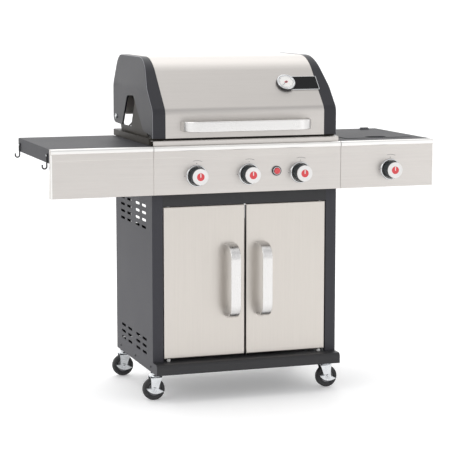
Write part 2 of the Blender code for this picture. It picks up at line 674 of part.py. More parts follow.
# ---- firebox and what is in it ----
def firebox(cart):
    """Enamelled bowl with a rim, a drain, burner holes, side cheeks and the hood's hinge bolts."""
    def ring(half, front, rear, z, radius=0.012):
        return rounded_rectangle((-half, half), (front, rear), radius, z)

    wall = FIREBOX_WALL
    half, front, rear = FIREBOX_HALF_WIDTH, FIREBOX_FRONT, FIREBOX_REAR
    middle = (front + rear) / 2
    funnel = FUNNEL_HALF
    rings = [ring(funnel, middle - funnel, middle + funnel, FIREBOX_FLOOR),
             ring(half, front, rear, FIREBOX_SHOULDER),
             ring(half, front, rear, FIREBOX_RIM_LOW),
             ring(PANEL_HALF, FIREBOX_RIM_FRONT, FIREBOX_RIM_REAR, FIREBOX_RIM_LOW),
             ring(PANEL_HALF, FIREBOX_RIM_FRONT, FIREBOX_RIM_REAR, FIREBOX_RIM_HIGH),
             ring(half - wall, front + wall, rear - wall, FIREBOX_RIM_HIGH),
             ring(half - wall, front + wall, rear - wall, FIREBOX_SHOULDER + wall),
             ring(funnel - wall, middle - funnel + wall, middle + funnel - wall, FIREBOX_FLOOR + wall)]
    bowl = piece("firebox", loft(rings), "firebox_enamel")
    pin_y, pin_z = HOOD_PIVOT
    root = FIREBOX_RIM_HIGH - 0.004
    peak, saddle = FIREBOX_RIM_HIGH + CHEEK_TOP, pin_z - 0.027
    cheek = [(pin_y - 0.354, root), (pin_y - 0.216, peak), (pin_y - 0.192, peak), (pin_y - 0.139, saddle),
             (pin_y - 0.044, saddle)] + arc((pin_y, pin_z), 0.012, 150, -60, 8) + [(pin_y - 0.014, root)]
    for side in (-1, 1):
        plate = sorted((side * CHEEK_X, side * (CHEEK_X + FIREBOX_WALL)))
        head_at = HOOD_HALF_WIDTH + GAP
        shank = sorted((side * (CHEEK_X + 0.001), side * (head_at + 0.001)))
        head = sorted((side * head_at, side * (head_at + HOOD_PIN_HEAD_LENGTH)))
        add(bowl, prism(cheek, "X", *plate),
            rod((0, pin_y, pin_z), "X", HOOD_PIN_RADIUS, *shank),
            rod((0, pin_y, pin_z), "X", HOOD_PIN_HEAD, *head, sides=6))
    holes = [rod((x, 0, BURNER_Z), "Y", BURNER_RADIUS + 0.001, front - 0.02, front + 0.02) for x in KNOB_X]
    cut(bowl, rod((0, middle, 0), "Z", OUTLET_RADIUS, FIREBOX_FLOOR - 0.02, FIREBOX_FLOOR + 0.02), *holes)
    return attach(bowl, cart)


def front_trim(cart):
    """Stainless strip between the control panel and the hood."""
    path = round_corners([(TRIM_FRONT + TRIM_DEPTH, TRIM_TOP), (TRIM_FRONT, TRIM_TOP),
                          (TRIM_FRONT, WORKTOP + GAP)], (0.003,), count=4)
    strip = prism(thicken(path, SHEET), "X", -TRIM_HALF, TRIM_HALF)
    return attach(piece("front_trim", strip, "stainless"), cart)


def burner_tube(name, x, cart):
    """Tube burner, open where the valve's orifice feeds it and closed at its far end."""
    start = FIREBOX_FRONT - 0.006
    profile = [(BURNER_BORE, start), (BURNER_RADIUS, start), (BURNER_RADIUS, BURNER_END - 0.006),
               (0.006, BURNER_END), (0.0, BURNER_END)]
    inner = [(0.0, BURNER_END - 0.003), (0.005, BURNER_END - 0.003), (BURNER_BORE, BURNER_END - 0.008)]
    tube = lathe(inner + profile, (x, 0, BURNER_Z), "Y", 16)
    return attach(piece(name, tube, "stainless"), cart)


def flame_tamer(name, x, cart):
    """Roof-shaped heat plate over a burner."""
    half = TAMER_WIDTH / 2
    path = [(x - half, TAMER_LOW), (x - 0.006, TAMER_HIGH), (x + 0.006, TAMER_HIGH), (x + half, TAMER_LOW)]
    reach = (FIREBOX_FRONT + FIREBOX_WALL + 0.004, FIREBOX_REAR - FIREBOX_WALL - 0.004)
    return attach(piece(name, prism(thicken(path, -SHEET), "Y", *reach), "stainless"), cart)


def bar_edges(low, high, bars, width):
    """Edges of equal bars spread from low to high, first and last bar flush with the ends."""
    pitch = (high - low - width) / (bars - 1)
    edges = []
    for i in range(bars):
        edges += [low + i * pitch, low + i * pitch + width]
    return edges


def cooking_grate(name, side, cart):
    """Half of the cast cooking grate: bars along Y, tied at both ends and in the middle."""
    clear = 0.004
    x_edges = bar_edges(*sorted((side * 0.001, side * (FIREBOX_HALF_WIDTH - FIREBOX_WALL - clear))),
                        GRATE_BARS, GRATE_BAR)
    y_edges = bar_edges(FIREBOX_FRONT + FIREBOX_WALL + clear, FIREBOX_REAR - FIREBOX_WALL - clear, 3,
                        GRATE_BAR)
    grate = slab_with_bars(x_edges, y_edges, lambda i, j: i % 2 == 1 and j % 2 == 1,
                           (GRATE_LOW, GRATE_LOW + GRATE_THICKNESS))
    return attach(piece(name, grate, "cast_iron"), cart)


def warming_rack(cart):
    """Raised rear grille on two legs that stand on the firebox rim."""
    x_edges = bar_edges(-RACK_HALF_WIDTH, RACK_HALF_WIDTH, 15, RACK_WIRE)
    y_edges = bar_edges(RACK_FRONT, RACK_REAR, 2, RACK_WIRE)
    rack = piece("warming_rack", slab_with_bars(x_edges, y_edges, lambda i, j: i % 2 == 1 and j % 2 == 1,
                                                (RACK_LOW, RACK_LOW + RACK_WIRE)), "bright_steel")
    stand = FIREBOX_RIM_HIGH + GAP
    foot = FIREBOX_HALF_WIDTH + 0.002
    for side in (-1, 1):
        rail = side * RACK_HALF_WIDTH
        leg = [(rail, RACK_LOW + 0.001), (rail - side * RACK_WIRE, RACK_LOW + 0.001),
               (rail - side * RACK_WIRE, RACK_KNEE), (side * (foot - RACK_WIRE), stand), (side * foot, stand),
               (rail, RACK_KNEE + 0.005)]
        for y in (RACK_FRONT, RACK_REAR - RACK_WIRE):
            add(rack, prism(leg, "Y", y, y + RACK_WIRE))
    return attach(rack, cart)


def gas_manifold(cart):
    """Gas pipe with four valves, three burner orifices, the side burner's feed and the inlet fitting."""
    pipe_end = -BURNER_SPACING - 0.032
    pipe = piece("gas_manifold", rod((0, MANIFOLD_Y, VALVE_Z), "X", MANIFOLD_RADIUS, pipe_end,
                                     SIDE_BURNER_X + 0.030, sides=16, turn=0.1), "brass")
    add(pipe, rod((0, MANIFOLD_Y, VALVE_Z), "X", 0.010, pipe_end - 0.025, pipe_end + 0.010, sides=6))
    valve_x = (*KNOB_X, SIDE_BURNER_X)
    for x in valve_x:
        add(pipe, box((x - VALVE_HALF, x + VALVE_HALF), (VALVE_FRONT, MANIFOLD_Y + 0.0045),
                      (VALVE_Z - VALVE_HALF, VALVE_Z + VALVE_HALF)))
    for x in KNOB_X:
        add(pipe, rod((x, 0, VALVE_Z), "Y", 0.004, MANIFOLD_Y + 0.001, MANIFOLD_Y + 0.016, sides=8, turn=0.2))
    feed_y = (SIDE_OPENING_FRONT + SIDE_OPENING_REAR) / 2
    add(pipe, rod((SIDE_BURNER_X, 0, VALVE_Z), "Y", 0.005, MANIFOLD_Y + 0.001, feed_y + 0.007, sides=8,
                  turn=0.2),
        rod((SIDE_BURNER_X, feed_y, 0), "Z", 0.004, VALVE_Z, SIDE_BOWL_FLOOR - 0.002, sides=8))
    cut(pipe, *[rod((x, 0, VALVE_Z), "Y", STEM_RADIUS + RUNNING_GAP, VALVE_FRONT - 0.01, VALVE_FRONT + 0.020)
                for x in valve_x])
    return attach(pipe, cart)


def igniter_housing(cart):
    """Collar of the igniter: flange before the panel, barrel through it."""
    bore = IGNITER_BUTTON + RUNNING_GAP
    profile = [(bore, -0.006), (IGNITER_FLANGE - 0.002, -0.006), (IGNITER_FLANGE, -0.004),
               (IGNITER_FLANGE, -GAP), (IGNITER_BARREL, -GAP), (IGNITER_BARREL, 0.022), (bore, 0.022)]
    collar = lathe(profile, (IGNITER_X, 0, IGNITER_Z), "Y", 16)
    return attach(piece("igniter_housing", collar, "black_plastic"), cart)


# ---- side burner ----
def side_burner_bowl(cart):
    """Drip bowl that fills the shelf's opening."""
    x_range = (SIDE_BURNER_X - SIDE_OPENING_HALF, SIDE_BURNER_X + SIDE_OPENING_HALF)

    def ring(inset, z):
        return rounded_rectangle((x_range[0] + inset, x_range[1] - inset),
                                 (SIDE_OPENING_FRONT + inset, SIDE_OPENING_REAR - inset), 0.010, z)

    edge = SIDE_LID_GAP
    bowl = loft([ring(edge + 0.020, SIDE_BOWL_FLOOR), ring(edge, SIDE_BOWL_FLOOR + 0.020),
                 ring(edge, SIDE_BOWL_RIM), ring(edge + SHEET, SIDE_BOWL_RIM),
                 ring(edge + SHEET, SIDE_BOWL_FLOOR + 0.0207), ring(edge + 0.0207, SIDE_BOWL_FLOOR + SHEET)])
    return attach(piece("side_burner_bowl", bowl, "black_powder_coat"), cart)


def side_burner_middle():
    """Centre of the side burner on the shelf."""
    return (SIDE_BURNER_X, (SIDE_OPENING_FRONT + SIDE_OPENING_REAR) / 2, 0)


def side_burner_head(cart):
    """Round burner head with its cap."""
    floor = SIDE_BOWL_FLOOR + SHEET + GAP
    profile = [(0.0, floor), (0.020, floor), (0.026, floor + 0.010), (SIDE_HEAD_RADIUS, floor + 0.014),
               (SIDE_HEAD_RADIUS, floor + 0.020), (0.030, floor + 0.0215), (0.030, floor + 0.025),
               (0.024, floor + 0.027), (0.0, floor + 0.028)]
    head = lathe(profile, side_burner_middle(), "Z", 20)
    return attach(piece("side_burner_head", head, "cast_iron"), cart)


def side_burner_grate(cart):
    """Pan support: an outer frame with four fingers towards the flame."""
    x, y, _ = side_burner_middle()
    half = SIDE_GRATE_HALF
    low, high = SIDE_BOWL_RIM - 0.014, SIDE_BOWL_RIM - 0.001
    finger = 0.0035
    frame = piece("side_burner_grate", box((x - half, x + half), (y - half, y + half),
                                           (low + 0.006, high)), "cast_iron")
    inside = half - 0.007
    cut(frame, box((x - inside, x + inside), (y - inside, y + inside), (low, high + 0.01)))
    inner = 0.022
    for side in (-1, 1):
        along_x = sorted((x + side * inner, x + side * (half - 0.002)))
        along_y = sorted((y + side * inner, y + side * (half - 0.002)))
        add(frame, box(along_x, (y - finger, y + finger), (low + 0.006, high)),
            box((x - finger, x + finger), along_y, (low + 0.006, high)))
    return attach(frame, cart)


def side_burner_lid(hinge):
    """Flat cover, folded down at its edges, with a finger hole and two hinge knuckles."""
    edge = SIDE_LID_GAP
    x_range = (SIDE_BURNER_X - SIDE_OPENING_HALF + edge, SIDE_BURNER_X + SIDE_OPENING_HALF - edge)
    y_range = (SIDE_OPENING_FRONT + edge, SIDE_OPENING_REAR - edge)
    low = SIDE_LID_TOP - SIDE_LID_DEPTH

    def ring(inset, z):
        return rounded_rectangle((x_range[0] + inset, x_range[1] - inset),
                                 (y_range[0] + inset, y_range[1] - inset), 0.006 - inset, z)

    lid = piece("side_burner_lid", loft([ring(0, SIDE_LID_TOP), ring(0, low), ring(SHEET, low),
                                         ring(SHEET, SIDE_LID_TOP - SHEET)]), "black_powder_coat")
    cut(lid, prism(slot_outline((SIDE_BURNER_X, GRIP_HOLE_Y), GRIP_HOLE_HALF_LENGTH, GRIP_HOLE_RADIUS, 6),
                   "Z", SIDE_LID_TOP - 0.005, SIDE_LID_TOP + 0.005))
    pin_y, pin_z = side_lid_pivot()
    for side in (-1, 1):
        x = SIDE_BURNER_X + side * (SIDE_OPENING_HALF - 0.035)
        strap = [(pin_y - 0.012, SIDE_LID_TOP - 0.0007), (pin_y - 0.002, SIDE_LID_TOP - 0.0007),
                 (pin_y, pin_z - 0.002), (pin_y, pin_z + 0.002), (pin_y - 0.004, pin_z + 0.002)]
        add(lid, prism(strap, "X", x - 0.015, x + 0.015),
            rod((0, pin_y, pin_z), "X", KNUCKLE_RADIUS, x - 0.015, x + 0.015, sides=12))
    return attach(lid, hinge)


def side_lid_pivot():
    """Hinge axis of the side burner's cover, as (y, z)."""
    return SIDE_OPENING_REAR + 0.0035, SIDE_LID_PIVOT_Z


# ---- grease tray ----
def grease_tray(slide):
    """Shallow drawer that hangs by its rim on the runners and pulls out at the back."""
    rear = CART_BACK - 0.002
    half = TRAY_HALF_WIDTH

    def ring(grow, z):
        return rounded_rectangle((-half - grow, half + grow), (TRAY_FRONT - grow, rear + grow), 0.012, z)

    tray = loft([ring(0, TRAY_LOW), ring(0, TRAY_HIGH - SHEET), ring(TRAY_RIM - GAP, TRAY_HIGH - SHEET),
                 ring(TRAY_RIM - GAP, TRAY_HIGH), ring(-SHEET, TRAY_HIGH), ring(-SHEET, TRAY_LOW + SHEET)])
    return attach(piece("grease_tray", tray, "zinc"), slide)


# ---- knobs and igniter button ----
def valve_stem(name, x, push):
    """Round stem between a valve and its knob."""
    stem = rod((x, 0, VALVE_Z), "Y", STEM_RADIUS, -0.028, VALVE_FRONT + 0.020 - STEM_TRAVEL - 0.001)
    return attach(piece(name, stem, "zinc"), push)


def knob(name, x, turn):
    """Control knob with a flared skirt, a domed face edge and a blind bore for the stem."""
    bore = STEM_RADIUS + RUNNING_GAP
    profile = [(0.0, -0.0285), (bore, -0.0285), (bore, -KNOB_BACK), (KNOB_SKIRT, -KNOB_BACK),
               (KNOB_SKIRT, -0.014), (KNOB_FACE, -0.018), (KNOB_FACE, -0.042),
               (KNOB_FACE - 0.003, -KNOB_FRONT), (0.0, -KNOB_FRONT)]
    return attach(piece(name, lathe(profile, (x, 0, VALVE_Z), "Y", 20), "bright_steel"), turn)


def igniter_button(push):
    """Round push button in the igniter's collar."""
    profile = [(0.0, -0.0105), (IGNITER_BUTTON - 0.002, -0.0105), (IGNITER_BUTTON, -0.009),
               (IGNITER_BUTTON, 0.014), (0.0, 0.014)]
    button = lathe(profile, (IGNITER_X, 0, IGNITER_Z), "Y", 16)
    return attach(piece("igniter_button", button, "red_button"), push)


# ---- hood ----
def hood_path(rear_end):
    """Outer section of the hood, as (y, z): front, slope, brow, top and back down to rear_end."""
    brow_y = HOOD_FRONT + (HOOD_TOP - HOOD_BREAK) / math.tan(HOOD_SLOPE)
    return round_corners([(HOOD_FRONT, HOOD_BOTTOM), (HOOD_FRONT, HOOD_BREAK), (brow_y, HOOD_TOP),
                          (HOOD_REAR, HOOD_TOP), (HOOD_REAR, rear_end)],
                         (HOOD_BREAK_RADIUS, HOOD_BROW_RADIUS, HOOD_BACK_RADIUS), count=7)


def hood_skin(hinge):
    """Curved stainless sheet between the two end caps."""
    half = HOOD_HALF_WIDTH - HOOD_CAP_WIDTH
    sheet = prism(thicken(hood_path(HOOD_REAR_EDGE), -SHEET), "X", -half, half)
    return attach(piece("hood_skin", sheet, "stainless"), hinge)


def hood_cap(name, side, hinge):
    """End of the hood: a band that carries on the skin's section, and a side wall with a deep notch."""
    inner, outer = side * (HOOD_HALF_WIDTH - HOOD_CAP_WIDTH + GAP), side * HOOD_HALF_WIDTH
    whole = hood_path(HOOD_REAR_EDGE)
    sill, pin_y = HOOD_BOTTOM + 0.018, HOOD_PIVOT[0]
    leg = round_corners([whole[-1], (HOOD_REAR, sill + 0.008), (pin_y - 0.038, sill),
                         (pin_y - 0.072, sill + 0.003)], (0.026, 0.02))[1:]
    crown = HOOD_BOTTOM + 0.132
    outline = whole[:-1] + leg + [(pin_y - 0.131, crown - 0.018), (pin_y - 0.149, crown - 0.004),
                                  (pin_y - 0.209, crown), (pin_y - 0.226, crown - 0.008),
                                  (HOOD_FRONT + 0.110, sill), (HOOD_FRONT + 0.029, HOOD_BOTTOM + 0.010)]
    cap = piece(name, prism(outline, "X", *sorted((inner, outer))), "slate_enamel")
    inside = offset_path(whole, -CAP_WALL)
    hollow = inside + [(inside[-1][0], HOOD_BOTTOM - 0.03), (inside[0][0], HOOD_BOTTOM - 0.03)]
    cut(cap, prism(hollow, "X", *sorted((inner - side * 0.01, outer - side * CAP_WALL))))
    pin_y, pin_z = HOOD_PIVOT
    cut(cap, rod((0, pin_y, pin_z), "X", HOOD_PIN_RADIUS + RUNNING_GAP,
                 *sorted((outer - side * 0.01, outer + side * 0.01))))
    bm = bmesh.new()
    bm.from_mesh(cap.data)
    bmesh.ops.bisect_plane(bm, geom=bm.verts[:] + bm.edges[:] + bm.faces[:],
                           plane_co=(0, 0, CAP_LEAN_FROM), plane_no=(0, 0, 1))
    for vertex in bm.verts:
        if abs(vertex.co.x) > HOOD_HALF_WIDTH - 2 * CAP_WALL:
            vertex.co.x -= side * CAP_LEAN * max(0.0, vertex.co.z - CAP_LEAN_FROM)
    bm.to_mesh(cap.data)
    bm.free()
    return attach(cap, hinge)


def hood_handle(hinge):
    """Wide bow handle across the hood's front."""
    outline = bow((-HOOD_HANDLE_HALF, HOOD_HANDLE_HALF), HOOD_FRONT - GAP, HANDLE_FACE)
    grip = prism(outline, "Z", HOOD_HANDLE_LOW, HOOD_HANDLE_LOW + HOOD_HANDLE_HEIGHT)
    return attach(piece("hood_handle", grip, "bright_steel"), hinge)


def thermometer(hinge):
    """Round dial on a long plate that lies on the hood's slope."""
    dial = rod((0, 0, 0), "Z", DIAL_RADIUS, GAP, DIAL_DEPTH, sides=24)
    plate = box((0, BADGE_END - DIAL_X), (-BADGE_HALF_HEIGHT, BADGE_HALF_HEIGHT), (GAP, BADGE_DEPTH))
    made = piece("thermometer", dial, "dial")
    add(made, plate)
    foot = (HOOD_FRONT + DIAL_RISE * math.cos(HOOD_SLOPE) / math.sin(HOOD_SLOPE),
            HOOD_BREAK + DIAL_RISE)
    made.data.transform(Matrix.Translation((DIAL_X, *foot)) @ Matrix.Rotation(HOOD_SLOPE, 4, "X"))
    return attach(made, hinge)


# ---- casters ----
def caster_fork(name, x, y, trail, swivel):
    """Pressed fork with its riveted axle, bearing disc and stem."""
    wheel_x = x + trail
    crown = rod((x, y, 0), "Z", CROWN_RADIUS, CROWN_LOW, CROWN_LOW + 0.003, sides=16)
    fork = piece(name, crown, "zinc")
    add(fork, rod((x, y, 0), "Z", 0.015, CROWN_LOW + 0.002, CROWN_LOW + 0.013),
        rod((x, y, 0), "Z", CASTER_STEM_RADIUS, CROWN_LOW + 0.010, BASE_TOP - 0.008))
    leg = [(x - 0.0195, CROWN_LOW + 0.0015), (wheel_x - 0.012, WHEEL_RADIUS)]
    leg += arc((wheel_x, WHEEL_RADIUS), 0.012, 200, 340, 4)
    leg += [(wheel_x + 0.012, WHEEL_RADIUS), (x + 0.0195, CROWN_LOW + 0.0015)]
    for side in (-1, 1):
        inner = y + side * FORK_GAP / 2
        add(fork, prism(leg, "Y", *sorted((inner, inner + side * FORK_SHEET))))
    reach_x, reach_y = 0.0200, FORK_GAP / 2 + FORK_SHEET + 0.0004
    cheeks = [(x - reach_x, y - reach_y), (x + reach_x, y - reach_y), (x + reach_x, y + reach_y),
              (x - reach_x, y + reach_y)]
    add(fork, prism(cheeks, "Z", CROWN_LOW + 0.0003, CROWN_LOW + 0.0028),
        rod((wheel_x, y, WHEEL_RADIUS), "Y", AXLE_RADIUS, -FORK_GAP / 2 - FORK_SHEET - 0.006,
            FORK_GAP / 2 + FORK_SHEET + 0.001, sides=12))
    return attach(fork, swivel)


def caster_wheel(name, x, y, spin):
    """Wheel with rounded shoulders; its lowest facet lies flat on the floor."""
    outer = WHEEL_RADIUS / math.cos(math.pi / WHEEL_SIDES)
    bore = AXLE_RADIUS + RUNNING_GAP
    half = WHEEL_WIDTH / 2
    profile = [(bore, -half), (outer - 0.005, -half), (outer - 0.0012, -half + 0.0035),
               (outer, -half + 0.008)]
    profile += [(radius, -distance) for radius, distance in reversed(profile)]
    wheel = lathe(profile, (x, y, WHEEL_RADIUS), "Y", WHEEL_SIDES, turn=math.pi / WHEEL_SIDES)
    return attach(piece(name, wheel, "rubber"), spin)


def caster_brake(name, x, y, lever):
    """Crescent rocker on the axle's front end, with a wing at each tip for the shoe."""
    bore = AXLE_RADIUS + RUNNING_GAP
    face = y - FORK_GAP / 2 - FORK_SHEET - GAP
    sheet = 0.0015
    crescent = arc((0, 0.028), 0.042, 224, 316, 9)
    crescent += [(BRAKE_HALF_LENGTH, 0.0), (0.008, 0.0065), (-0.008, 0.0065), (-BRAKE_HALF_LENGTH, 0.0)]
    rocker = piece(name, prism(crescent, "Y", face - sheet, face), "zinc")
    for side in (-1, 1):
        wing = [(side * 0.0135, 0.0035), (side * BRAKE_HALF_LENGTH, -0.0005),
                (side * BRAKE_HALF_LENGTH, -0.0022), (side * 0.0135, 0.0018)]
        add(rocker, prism(wing, "Y", face - sheet - BRAKE_WING, face - sheet / 2))
    cut(rocker, rod((0, 0, 0), "Y", bore, face - 0.02, face + 0.02, sides=12))
    rocker.data.transform(Matrix.Translation((x, 0, WHEEL_RADIUS)) @ Matrix.Rotation(BRAKE_TILT, 4, "Y"))
    return attach(rocker, lever)


def casters(cart):
    """Four braked swivel casters, one under each corner."""
    for label, side, y in (("front_left", -1, CASTER_Y[0]), ("front_right", 1, CASTER_Y[0]),
                           ("rear_left", -1, CASTER_Y[1]), ("rear_right", 1, CASTER_Y[1])):
        x = side * CASTER_X
        trail = side * CASTER_TRAIL
        swivel = pivot(label + "_swivel", cart, (x, y, CROWN_LOW))
        axle = pivot(label + "_axle", swivel, (x + trail, y, WHEEL_RADIUS))
        caster_fork(label + "_caster_fork", x, y, trail, swivel)
        caster_wheel(label + "_caster_wheel", x + trail, y, axle)
        caster_brake(label + "_caster_brake", x + trail, y, axle)


def main():
    """Build the whole grill."""
    for item in list(bpy.data.objects):
        bpy.data.objects.remove(item, do_unlink=True)
    make_materials()
    grill = pivot("grill", None, (0, 0, 0))
    grill.location = (X_SHIFT, Y_SHIFT, 0)

    base_tray(grill)
    side_panel("left_side_panel", -1, grill)
    side_panel("right_side_panel", 1, grill)
    back_panel(grill)
    front_rail(grill)
    control_panel(grill)
    for label, side in (("left", -1), ("right", 1)):
        fascia(label + "_fascia", side, grill)
        shelf(label + "_shelf", side, grill)
        cooking_grate(label + "_cooking_grate", side, grill)
        hinge = pivot(label + "_door_hinge", grill, (side * door_pivot_x(), door_pivot_y(), DOOR_BOTTOM))
        door(label + "_door", side, hinge)
        door_handle(label + "_door_handle", side, hinge)
    for label, y in zip(("front_hook", "rear_hook"), HOOK_Y):
        hook(label, y, grill)

    firebox(grill)
    front_trim(grill)
    warming_rack(grill)
    gas_manifold(grill)
    igniter_housing(grill)
    for number, x in enumerate(KNOB_X, start=1):
        burner_tube(f"burner_tube_{number}", x, grill)
        flame_tamer(f"flame_tamer_{number}", x, grill)
    side_burner_bowl(grill)
    side_burner_head(grill)
    side_burner_grate(grill)
    grease_tray(pivot("tray_slide", grill, (0, TRAY_FRONT, TRAY_LOW)))

    for label, x in (*((f"burner_{n}", x) for n, x in enumerate(KNOB_X, start=1)),
                     ("side_burner", SIDE_BURNER_X)):
        axis = pivot(label + "_control", grill, (x, 0, VALVE_Z))
        valve_stem(label + "_valve_stem", x, axis)
        knob(label + "_knob", x, axis)
    igniter_button(pivot("igniter_push", grill, (IGNITER_X, 0, IGNITER_Z)))
    side_burner_lid(pivot("side_lid_hinge", grill, (SIDE_BURNER_X, *side_lid_pivot())))

    hinge = pivot("hood_hinge", grill, (0, *HOOD_PIVOT))
    hood_skin(hinge)
    hood_cap("hood_left_cap", -1, hinge)
    hood_cap("hood_right_cap", 1, hinge)
    hood_handle(hinge)
    thermometer(hinge)
    casters(grill)


main()
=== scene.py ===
"""Visible surfaces and finishes of a gas barbecue grill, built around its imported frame."""

import json
import math

import bmesh
import bpy
import numpy as np
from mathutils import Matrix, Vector

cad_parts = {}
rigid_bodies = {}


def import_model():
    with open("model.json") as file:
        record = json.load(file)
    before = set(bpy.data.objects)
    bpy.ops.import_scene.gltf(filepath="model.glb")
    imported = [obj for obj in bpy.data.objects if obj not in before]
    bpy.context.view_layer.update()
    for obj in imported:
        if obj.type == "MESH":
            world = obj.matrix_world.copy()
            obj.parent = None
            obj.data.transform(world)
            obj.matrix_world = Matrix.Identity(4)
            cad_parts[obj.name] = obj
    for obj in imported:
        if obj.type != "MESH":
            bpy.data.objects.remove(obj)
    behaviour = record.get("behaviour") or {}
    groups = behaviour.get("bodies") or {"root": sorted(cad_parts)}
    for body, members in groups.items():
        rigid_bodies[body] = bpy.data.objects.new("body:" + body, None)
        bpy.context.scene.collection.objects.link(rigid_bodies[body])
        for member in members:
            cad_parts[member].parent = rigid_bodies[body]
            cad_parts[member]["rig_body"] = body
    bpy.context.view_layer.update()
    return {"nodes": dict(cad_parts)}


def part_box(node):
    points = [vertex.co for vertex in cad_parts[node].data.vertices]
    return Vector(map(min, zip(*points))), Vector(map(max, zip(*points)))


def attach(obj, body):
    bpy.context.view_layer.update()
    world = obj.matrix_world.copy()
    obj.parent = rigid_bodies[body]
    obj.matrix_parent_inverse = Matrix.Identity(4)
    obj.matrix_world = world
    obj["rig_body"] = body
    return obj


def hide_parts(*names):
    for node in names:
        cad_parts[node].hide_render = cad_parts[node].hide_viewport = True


bl_info = {
    "name": "Gas barbecue grill",
    "version": (1, 0, 0),
    "blender": (4, 5, 0),
    "location": "3D View > Sidebar > Grill",
    "description": "Builds the visible surfaces and finishes of a gas barbecue grill around its frame",
    "category": "Object",
}

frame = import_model()


def limits(node):
    """Lowest and highest corner of a frame node, from the cart's middle, panel face and floor."""
    low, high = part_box(node)
    return np.array(low) - ORIGIN, np.array(high) - ORIGIN


PANEL_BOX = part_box("control_panel")
ORIGIN = np.array([(PANEL_BOX[0].x + PANEL_BOX[1].x) / 2, PANEL_BOX[0].y, 0.0])

# Sizes in metres, from the frame where it holds them.
SKIN_LOW, SKIN_HIGH = limits("hood_skin")
CAP_LOW, CAP_HIGH = limits("hood_right_cap")
PANEL_LOW, PANEL_HIGH = limits("control_panel")
DOOR_LOW, DOOR_HIGH = limits("right_door")
SHEET = 0.0015
GAP = 0.0003
SHARP_EDGE, SHARP_FOLD = 38.0, 50.0     # degrees past which an edge is shaded sharp

HOOD_SLOPE = math.radians(46.5)
HOOD_BREAK = 0.9763
HOOD_REAR_EDGE = 0.935
HOOD_RADII = (0.035, 0.154, 0.035)
CAP_WALL = 0.0025
CAP_CREASE = 0.004
CAP_RETURN = 0.006
CAP_LEAN = 0.19
CAP_LEAN_FROM = 1.045

KNOB_Z = 0.763
KNOB_X = {"burner_1": -0.183, "burner_2": 0.0, "burner_3": 0.183, "side_burner": 0.513}
IGNITER = (0.0975, 0.771)
HOOD_BOLT = (0.484, 0.932)
DOOR_PIN = (0.270, 0.043)
WHEELS = {"front_left": (-1, 0.078), "front_right": (1, 0.078), "rear_left": (-1, 0.474),
          "rear_right": (1, 0.474)}
CASTER_X, CASTER_TRAIL = 0.307, 0.006
AXLE_Z, FORK_CROWN, TYRE_RADIUS, WHEEL_HALF, NUT_RADIUS = 0.0375, 0.0815, 0.0375, 0.0133, 0.0064
# Crescent brake about the axle as (x, z): its upper edge, corner radii, and the section of a wing.
BRAKE_TOP, BRAKE_RADII = ((0.0292, 0.0), (0.0078, 0.0062), (-0.0078, 0.0062), (-0.0292, 0.0)), (0.006, 0.006)
BRAKE_WING = np.array([(0.0135, 0.0034), (0.0293, -0.0006), (0.0293, -0.0021), (0.0135, 0.0017)])
BRAKE_CENTRE, BRAKE_RADIUS, BRAKE_TILT = (0, 0.028), 0.042, math.radians(12)
FORK_SHEET, FORK_INSIDE = 0.0025, 0.015

# Notch of a hood cap as (y, z), its corner radii, and the tail behind the hinge.
CAP_NOTCH = ((0.058, 0.897), (0.141, 0.904), (0.262, 1.016), (0.343, 1.013), (0.410, 0.9075), (0.496, 0.9095))
NOTCH_RADII = (0.03, 0.02, 0.02, 0.02)
CAP_TAIL_Z, CAP_TAIL_RADIUS = 0.934, 0.024
# Shares of the outer outline's length, and the shares of the notch's length that face them.
OUTER_SHARES, NOTCH_SHARES = (0, 0.11, 0.34, 0.62, 0.80, 1.0), (0, 0.17, 0.42, 0.60, 0.78, 1.0)
# The first is the radius of a lighter line along each cap's crease, a painted highlight.
WORN_EDGE, HOOD_MIDDLE_Y = 0.0008, 0.3

HANDLE_BAR, HANDLE_EDGE = 0.007, 0.0032
HOOD_BOW_BEND, DOOR_BOW_BEND = 0.057, 0.048
DIAL_RISE, DIAL_X, DIAL_RADIUS, DIAL_FACE_RADIUS = 0.0795, 0.1685, 0.033, 0.0266
DIAL_ANGLES, LONG_TICK, SHORT_TICK = np.linspace(-220, 40, 27), 0.0042, 0.0022
PLATE_END, PLATE_HALF, PLATE_RIM = 0.117, 0.030, 0.0025
DOOR_INNER, DOOR_OUTER, DOOR_BOTTOM, DOOR_TOP = 0.003, 0.288, 0.1445, 0.6585
DOOR_FOLD, DOOR_LIP = 0.0042, 0.012
SIDE_PANEL_X, BACK_PANEL_Y, BACK_SCREWS_X = 0.3275, 0.4914, 0.316
SIDE_SCREWS_Y, SIDE_SCREWS_Z, BACK_SCREWS_Z = (0.060, 0.250, 0.440), (0.118, 0.735), (0.185, 0.440, 0.700)
# Rolled edge over a front panel, bright from lighter steel that is a painted highlight, as (y, height over
# the panel's top), and its corner radii.
PANEL_ROLL = ((0.0004, -0.0170), (-0.0026, -0.0150), (-0.0026, -0.0010), (0.0040, 0.0002), (0.0080, 0.0002))
PANEL_ROLL_RADII = (0.0016, 0.0075, 0.0030)
SHELF_CORNER, SHELF_FOLD = 0.006, 0.0030
SIDE_MOUTH = ((0.388, 0.638), (0.095, 0.435))
HOOK_Z, HOOK_BEND_Z, HOOK_BEND, HOOK_WIRE = 0.842, 0.806, 0.0075, 0.00245
COVER_TOP, COVER_BOTTOM, COVER_FOLD = 0.8645, 0.8485, 0.0022
COVER_Y, COVER_PIN, COVER_HINGE_X = (0.096, 0.434), (0.4385, 0.868), 0.090
COVER_HOLE, COVER_HOLE_Y = (0.037, 0.0198), (0.108, 0.148)

